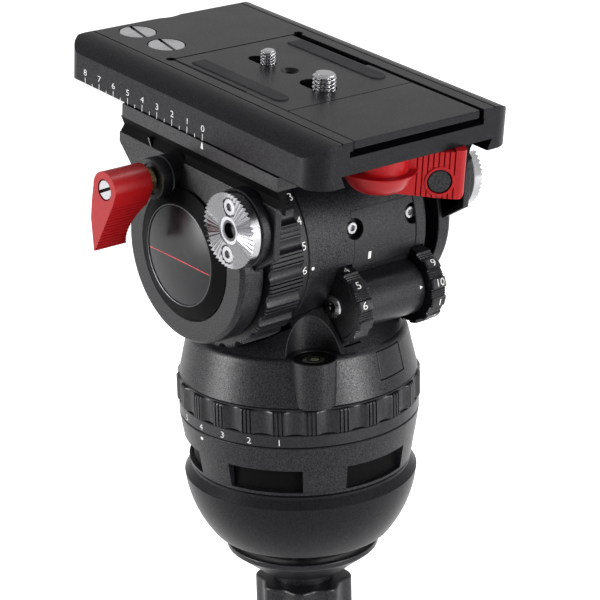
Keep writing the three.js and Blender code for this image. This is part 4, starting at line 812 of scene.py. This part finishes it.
def rosette_pieces(side, hand):
    """Disc with radial teeth, two socket screws sunk in it and the bush of its threaded hole."""
    cy, cz = rosette.centre
    plain_depth = {"back": 4.8, "low": 4.4, "hub": .7, "bore": 1.0}
    steps = ((4, "back"), (rosette.radius - .4, "back"), (rosette.radius, "low"), (rosette.radius, "tooth"),
             (11, "tooth"), (5.7, "tooth"), (5.6, "hub"), (4.3, "hub"), (4, "bore"))
    rings = []
    for r, kind in steps:
        ring = []
        for i, (y, z) in enumerate(circle(r, rosette.points, rosette.centre)):
            wave = abs((i * rosette.teeth / rosette.points) % 1 - .5) * 2
            depth = plain_depth.get(kind, 1.3 * r / rosette.radius * wave)
            ring.append((side * (rosette.face - depth), y, z))
        rings.append(ring)
    disc = loft(f"{hand}_rosette_disc", rings, TILT, True)
    spots = [(cy, cz + rosette.screws), (cy, cz - rosette.screws)]
    for spot in spots:
        cut(disc, bored("sink", side, 4.05, 59.3, 64, spot, 64))
    put(disc, "tilt", "silver", SILVER, f"{hand}_rosette", angle=25)
    for k, spot in enumerate(spots):
        hexagon = prism("hex", arc(*spot, 1.8, 10, 310, 5), "X", *ends(side, 59.6, 64), TILT)
        profile = [(0, 59.2), (3.6, 59.2), (3.6, 60.2), (3.2, 60.6), (0, 60.7)]
        head = turned(f"{hand}_rosette_screw_{k}", side, profile, spot, 48)
        put(cut(head, hexagon), "tilt", "steel", STEEL)
    bush = tube(f"{hand}_rosette_bush", 3.2, 3.95, *ends(side, 56.5, 60.0), "X", rosette.centre, 64, TILT)
    put(bush, "tilt", "silver", EDGE)


for side, hand in ((-1, "left"), (1, "right")):
    cheek_pieces(side, hand, FACES[hand])
    boss_pieces(side, hand)
    bezel_pieces(side, hand, FACES[hand])
    rosette_pieces(side, hand)
fin = prism("clamp_fin", [(33.2, 37.9), (34.1, 37.9), (31.3, 33.4), (30.4, 33.4)], "X", -51.6, -48.8, TILT)
put(rounded(fin, .15, 2), "tilt", "steel", EDGE)

# Red line across the left dome, bowed upwards so that it looks straight from the photo's side
line = Sizes(half=19.6, width=.35, lift=.04)


def on_dome(y, z):
    rise = dome.rise * (1 - (y * y + z * z) / dome.radius ** 2)
    return -(FACES["left"] + dome.lift + rise + line.lift)


upper = []
lower = []
for k in range(25):
    y = -line.half + 2 * line.half * k / 24
    z = -2.05 - .038 * y + 1.35 * (1 - (y / line.half) ** 2)
    upper.append((on_dome(y, z), y, z))
    lower.append((on_dome(y, z), y, z - line.width))
faces = [(k, k + 1, k + 26, k + 25) for k in range(24)]
put(make("dome_line", upper + lower, faces, TILT), "tilt", "gloss", RED_PAINT)

# Cradle with its rail
cradle = Sizes(half=half_width, bottom=41.5, deck=47.2, rail_top=51.8, rail_foot=36.7, rail_half=38.9)
right_side = [(cradle.half, cradle.bottom), (cradle.half, cradle.deck), (cradle.rail_foot, cradle.deck),
              (cradle.rail_half, cradle.rail_top)]
outline = right_side + [(-x, z) for x, z in reversed(right_side)]
body = prism("cradle_body", outline, "Y", cheek.rear, 51.5, TILT)
cut(body, rod("arch", tilt_ring.grip + 2 * GAP, -46.8, 46.8, "X", segs=160, place=TILT),
    box("notch", (-24, 24), (-52, -38), (38, 55), TILT))
rounded(body, .35, 2)
put(body, "tilt", "grey", GREY, "cradle")
pointer = 2.1
marks = Marks("cradle_pointer", TILT)
marks.polygon([(pointer - .8, 44.3), (pointer + .8, 44.3), (pointer + .35, 46.9), (pointer - .35, 46.9)],
              lambda u, v: (-cradle.half - .06, -u, v))
marks.done("tilt", "grey")

# Balance platform: crowned sides, dovetail below and a channel for the camera plate
deck = Sizes(half=half_width, top=65.4, skirt=47.5, edge=59.5, crown=39.7, rear=-70.8, front=93,
             corner=10.2, lip=3.4)
channel = Sizes(left=-34, right=33.5, front=42.8, floor=59.1, undercut=61.5)
drop, run = deck.top - deck.edge, deck.half - deck.crown
radius = (run ** 2 + drop ** 2) / (drop * 2)
crown_centre = deck.top - radius
low_angle = math.degrees(math.asin((deck.edge - crown_centre) / radius))
half_section = [(39.2, 52.1), (37, deck.skirt), (deck.half - .7, deck.skirt), (deck.half, deck.skirt + .7),
                *arc(deck.crown, crown_centre, radius, low_angle, 90, 24)]
section = half_section + [(-x, z) for x, z in reversed(half_section)]
x = deck.half - deck.corner
front, rear = deck.front - deck.corner, deck.rear + deck.corner
plan = []
for k, (cx, cy) in enumerate(((x, front), (-x, front), (-x, rear), (x, rear))):
    plan += arc(cx, cy, deck.corner, 90 * k, 90 * k + 90, 20)
side_view = [(deck.rear, 44), (deck.front, 44),
             *arc(deck.front - deck.lip, deck.top - deck.lip, deck.lip, 0, 90, 12), (deck.rear, deck.top)]
body = prism("platform_body", section, "Y", deck.rear, deck.front, TILT)
common(body, prism("plan", plan, "Z", 44, 70, TILT), prism("side", side_view, "X", -60, 60, TILT))
along = (-80, channel.front)
cut(body, box("channel", (channel.left, channel.right), along, (channel.floor, 70), TILT),
    box("slot", (channel.left - 1.5, channel.right + .4), along, (channel.floor, channel.undercut), TILT))
rounded(body, .55, 3, 32)
for x in (channel.left, channel.right):
    cut(body, rod("notch", 2, channel.undercut, 70, "Z", (x, channel.front), 32, TILT))
thumb = Sizes(half=9.3, depth=3.9)
thumb.radius = (thumb.half ** 2 + thumb.depth ** 2) / (thumb.depth * 2)
cut(body, rod("thumb", thumb.radius, 40, 70, "Z", (.8, deck.front - thumb.depth + thumb.radius), 128, TILT))
for x in (39.35, -39.35):
    cut(body, box("groove", (x - .35, x + .35), (-80, 100), (deck.top - .6, 70), TILT))
spare = Sizes(x=-23.9, places={"front": 79.6, "rear": 59.3}, radius=7.75, thick=2.4)
for y in spare.places.values():
    cut(body, rod("seat", spare.radius + GAP, 62.6, 70, "Z", (spare.x, y), 96, TILT))
put(body, "platform", "anodised", ANODISED, "balance_platform")

# Two camera screws stored in the platform, with slotted heads
for hand, y in spare.places.items():
    top = deck.top - .05
    spot = TILT @ Vector((spare.x, y, top)) * MM
    mat = finish(f"turned_face_{hand}", (.26, .26, .27), (.36, .36, .37), (.16, .24), centre=spot, **METAL)
    name = f"spare_screw_{hand}"
    head = rod(f"{name}_head", spare.radius, top - spare.thick, top, "Z", (spare.x, y), 96, TILT, .25)
    at_slot = TILT @ Matrix.Translation((spare.x, y, top)) @ Matrix.Rotation(math.radians(78), 4, "Z")
    reach = spare.radius + 2
    cut(head, box("slot", (-reach, reach), (-.8, .8), (-1.1, 2), at_slot))
    put(head, "platform", "steel", mat, name)


def on_left_skirt(u, v):
    return (-deck.half - .06, -u, v)


# Centimetre scale with half centimetre marks on the left skirt
scale = Sizes(zero=-2.2, step=5, last=16)
marks = Marks("platform_scale", TILT)
for k in range(scale.last + 1):
    y = scale.zero + scale.step * k
    whole = k % 2 == 0
    marks.bar(-y - .16, 47.75, -y + .16, 50.5 if whole else 49.2, on_left_skirt)
    if whole:
        marks.text(str(k // 2), 3.7, on_left_skirt, 1.35, -y, 52.6)
marks.done("platform", "anodised")

# Camera plate with its rubber strips and screws
small_screw = Sizes(x=-3.2, y=18.1, radius=3.175, pitch=1.27, top=71.1)
large_screw = Sizes(x=-3.8, y=-18.0, radius=4.76, pitch=1.5875, top=71.7)
outline = [(-33.7, -70.7), (31.5, -70.7), (31.5, -5.3), (29.8, -4.5), (29.8, 41.7), (29, 42.5),
           (-32.2, 42.5), (-33, 41.7), (-33, -4.5), (-33.7, -5.3)]
plate = prism("camera_plate_body", outline, "Z", 61.8, deck.top, TILT)
rounded(plate, .7, 3, 60)
for screw in (small_screw, large_screw):
    r = screw.radius + .5
    slot = arc(screw.x, screw.y + 7, r, 0, 180, 24) + arc(screw.x, screw.y, r, 180, 360, 24)
    cut(plate, prism("slot", slot, "Z", 60, 70, TILT))
sink = [(0, 60), (2.3, 60), (2.3, 63.9), (4, deck.top), (4, 68), (0, 68)]
cut(plate, turn("sink", sink, "Z", (-1.6, 5.9), 64, TILT),
    box("line", (-40, 40), (-31.55, -31.05), (deck.top - .35, 70), TILT))


def strip_outline(x, width):
    r = width / 2
    return [(x + r, 34.5), (x - r, 34.5)] + arc(x, -21.4 + r, r, 180, 360, 24)


strips = (("left", -26.25, 7.3), ("right", 24.25, 8.0))
for hand, x, width in strips:
    cut(plate, prism("seat", strip_outline(x, width), "Z", 64.5, 70, TILT))
put(plate, "camera_plate", "anodised", ANODISED, "camera_plate")
claws = box("plate_claws", (-35.2, -30), (-60, -5), (59.4, 61.2), TILT)
put(claws, "camera_plate", "anodised", ANODISED)
for hand, x, width in strips:
    pad = prism(f"grip_strip_{hand}_pad", strip_outline(x, width - .4), "Z", 64.4, deck.top + .5, TILT)
    put(rounded(pad, .3, 2), "camera_plate", "rubber", RUBBER, f"grip_strip_{hand}")
for name, screw, depth, tip in (("small", small_screw, .7, .8), ("large", large_screw, .9, 1.0)):
    name = f"camera_screw_{name}"
    thread = threaded(f"{name}_thread", screw.radius, 61.8, screw.top, screw.pitch, depth,
                      tip, (screw.x, screw.y), TILT)
    put(thread, name, "steel", STEEL, name)


# Red levers
def lever(name, place, body, holder):
    """Lever along +X of its place, blade down, leaning to +Y."""
    r, length, foot = 7.5, 18, -27.9
    short = name.replace("_lever", "")
    section = [*arc(0, 0, r, 0, 180, 40), (-5.8, -4.8), (5.8, foot), (6.6, foot), (8.9, -14.7), (8.5, -7.35)]
    blade = prism(f"{name}_blade", section, "X", 0, length, place)
    profile = [(0, r), (length, r), (length, foot), *arc(-12.6, -20, 17.2, -27.3, 43, 24)]
    common(blade, prism("side", profile, "Y", -12, 12, place))
    rounded(blade, .7, 3, 28)
    grooves = []
    for i in range(1, 15):
        y = -5.8 + 11.8 * i / 15
        z = -4.8 + (foot + 4.8) * i / 15
        groove = [(y - 1.2, z + .1), (y + .55, z - .35), (y - .9, z - 1.1)]
        grooves.append(prism("groove", groove, "X", -3, 24, place))
    cut(blade, *grooves)
    cut(blade, rod("seat", 4.4, 15.9, 24, "X", segs=64, place=place))
    put(blade, body, "red", RED, name)
    head_end = length - .3
    head = rod(f"{short}_screw_head", 4.1, 15.8, head_end, "X", segs=64, place=place, edge=.3)
    at_slot = place @ Matrix.Translation((head_end, 0, 0)) @ Matrix.Rotation(math.radians(-28), 4, "X")
    cut(head, box("slot", (-1.1, 2), (-6, 6), (-.65, .65), at_slot))
    put(head, holder, "steel", STEEL, f"{short}_screw")
    # Painted shade: a near-black piece at the bottom of the screw's slot darkens the slot
    put(box(f"{name}_slot_painted_shade", (-1.2, -.85), (-3.9, 3.9), (-.6, .6), at_slot), holder, "steel", BLACK_AND_SHADE)
    washer = tube(f"{short}_washer_ring", 2.8, 5.2, -3.9, -.3, "X", segs=64, place=place, edge=.4)
    put(washer, holder, "brass", BRASS, f"{short}_washer")


mirror = Matrix.Scale(-1, 4, (1, 0, 0))
at_left = TILT @ Matrix.Translation((-brake.reach, *brake.centre)) @ mirror
at_right = TILT @ Matrix.Translation((brake.reach, *brake.centre))
at_pan = AT_PAN_LEVER @ Matrix.Translation((pan_lever.reach, 0, pan_lever.height))
lever("tilt_brake_lever", at_left, "tilt_brake_lever", "tilt")
lever("slide_lock_lever", at_right, "slide_lock_lever", "tilt")
lever("pan_brake_lever", at_pan, "pan_brake_lever", "pan")

# Release lever and safety button, built along +X from the pivot with the flat face towards -Y
PIVOT = TILT @ Matrix.Translation((-7, -56, 0)) @ Matrix.Rotation(math.radians(-32), 4, "Z")
release = Sizes(top=51.8, bottom=35.7, bowl=15.2, end=34.5, front=-2.5, back=4.5, corner=2.6)
button = Sizes(centre=(24.1, 39.7), radius=4.85)
hub = turn("release_lever_hub", [
    (0, release.bottom), (5.5, release.bottom), (7.6, 36.0), (9.4, 36.7), (10.9, 37.8), (12.2, 39.3),
    (13.4, 41.3), (14.5, 43.3), (release.bowl, 44.3), (release.bowl, 44.8), (14.9, 45.0), (11.9, 45.0),
    (11.5, 45.4), (11.5, release.top), (0, release.top)], segs=192, place=PIVOT)
middle = release.end - release.corner
side_line = [(0, release.top), (0, 35.6), (22.5, 32.9), (30.5, 32.2),
             *arc(middle, 34.8, release.corner, -90, 0, 8), (release.end, 52.4), (29.8, 52.4),
             (29.8, release.top)]
plan = [(0, release.front), *arc(middle, release.front + release.corner, release.corner, -90, 0, 8),
        (release.end, release.back), (0, release.back)]
arm = prism("arm", side_line, "Y", release.front, release.back, PIVOT)
common(arm, prism("plan", plan, "Z", 20, 60, PIVOT))
rounded(arm, .8, 3, 30)
ribs = Sizes(first=14.3, step=2.13, count=8)
for i in range(ribs.count):
    x = ribs.first + ribs.step * i
    cut(arm, prism("rib", [(x - .15, -3.4), (x + 1.15, -3.4), (x + .5, -1.8)], "Z", 28, 53, PIVOT))
add(hub, arm, tube("ring", 4.9, 6.2, -2.9, 0, "Y", button.centre, 96, PIVOT, .25))
cut(hub, rod("hole", button.radius + .2, -6, 1.5, "Y", button.centre, 96, PIVOT),
    box("under", (-deck.half, deck.half), (-71.1, 0), (release.top, 66), TILT))
put(hub, "release_lever", "red", RED, "release_lever")
cap = rod("release_button_cap", button.radius, -2.7, -.2, "Y", button.centre, 96, PIVOT, .5)
put(cap, "release_button", "polymer", POLYMER, "release_button")

# Inner pieces and the slide pads keep their solids and get a finish
inner = ("pan_axle", "pan_drag_cartridge", "pan_bearing", "tilt_bearing_left", "tilt_bearing_right",
         "tilt_drag_cartridge", "counterbalance_spring", "tilt_axle", "dial_shaft", "plate_clamp_jaw",
         "release_pivot_pin")
for names, mat in ((inner, STEEL), (("slide_pad_left", "slide_pad_right"), POLYMER)):
    for name in names:
        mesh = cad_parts[name].data
        mesh.materials.clear()
        mesh.materials.append(mat)


# Floor, light and camera, in metres and watts
def ray_mix(tree, dull, bright, target):
    """Camera, glossy and transmission rays meet the bright shader, all others the dull one."""
    link = tree.links.new
    path = node(tree, "LightPath")
    last = path.outputs["Is Camera Ray"]
    for name in ("Is Glossy Ray", "Is Transmission Ray"):
        total = node(tree, "Math")
        total.operation = "MAXIMUM"
        link(last, total.inputs[0])
        link(path.outputs[name], total.inputs[1])
        last = total.outputs["Value"]
    mix = node(tree, "MixShader")
    link(last, mix.inputs["Fac"])
    link(dull, mix.inputs[1])
    link(bright, mix.inputs[2])
    link(mix.outputs["Shader"], target)


FLOOR_HEIGHT = -.0866
REACH = 6
mesh = bpy.data.meshes.new("floor")
corners = [(-REACH, -REACH), (REACH, -REACH), (REACH, REACH), (-REACH, REACH)]
mesh.from_pydata([(x, y, FLOOR_HEIGHT) for x, y in corners], [], [(0, 1, 2, 3)])
floor = linked("floor", mesh)
mat = bpy.data.materials.new("pale_floor")
mat.use_nodes = True
tree = mat.node_tree
tree.nodes.remove(tree.nodes["Principled BSDF"])
matt = node(tree, "BsdfDiffuse", Color=(.8, .8, .8, 1))
glow = node(tree, "Emission", Strength=.86)
both = node(tree, "AddShader")
tree.links.new(matt.outputs["BSDF"], both.inputs[0])
tree.links.new(glow.outputs["Emission"], both.inputs[1])
ray_mix(tree, matt.outputs["BSDF"], both.outputs["Shader"], tree.nodes["Material Output"].inputs["Surface"])
floor.data.materials.append(mat)

world = bpy.data.worlds.new("studio")
scene.world = world
world.use_nodes = True
tree = world.node_tree
dull = tree.nodes["Background"]
dull.inputs["Color"].default_value = (.95, .97, 1, 1)
dull.inputs["Strength"].default_value = .22
white = node(tree, "Background", Color=(1, 1, 1, 1))
ray_mix(tree, dull.outputs["Background"], white.outputs["Background"],
        tree.nodes["World Output"].inputs["Surface"])


AIM = Vector((0, 0, .09))


def area(name, place, size, power):
    light = bpy.data.lights.new(name, "AREA")
    light.shape = "RECTANGLE"
    light.size, light.size_y = size
    light.energy = power
    obj = linked(name, light)
    obj.location = place
    obj.rotation_euler = (Vector(place) - AIM).to_track_quat("Z", "Y").to_euler()


# Two upright strips give the long highlights on round walls, a small lamp lights the top
STRIP_DISTANCE = 1.25
strip_lights = (("strip_left", 154, .28, (.42, .72), 27), ("strip_right", -76, .26, (.56, .68), 28))
for name, azimuth, height, size, power in strip_lights:
    area(name, (STRIP_DISTANCE * cosd(azimuth), STRIP_DISTANCE * sind(azimuth), height), size, power)
area("upper_right", (.72, -.10, 1.0), (.30, .50), 6)

# Camera fitted to the photo
view = Sizes(azimuth=-39.30, elevation=19.26, roll=-1.42, place=(-.5676, -.6957, .3828))
back = Vector((sind(view.azimuth) * cosd(view.elevation), -cosd(view.azimuth) * cosd(view.elevation),
               sind(view.elevation)))
level_right = Vector((cosd(view.azimuth), sind(view.azimuth), 0))
level_up = back.cross(level_right)
right = level_right * cosd(view.roll) + level_up * sind(view.roll)
up = level_up * cosd(view.roll) - level_right * sind(view.roll)
lens = bpy.data.cameras.new("camera")
lens.sensor_width = 36
lens.sensor_fit = "HORIZONTAL"
lens.lens = 136.13
lens.clip_start = .05
camera = linked("camera", lens)
rows = [(right[i], up[i], back[i], view.place[i]) for i in range(3)]
camera.matrix_world = Matrix((*rows, (0, 0, 0, 1)))
scene.camera = camera
scene.view_settings.view_transform = "Standard"
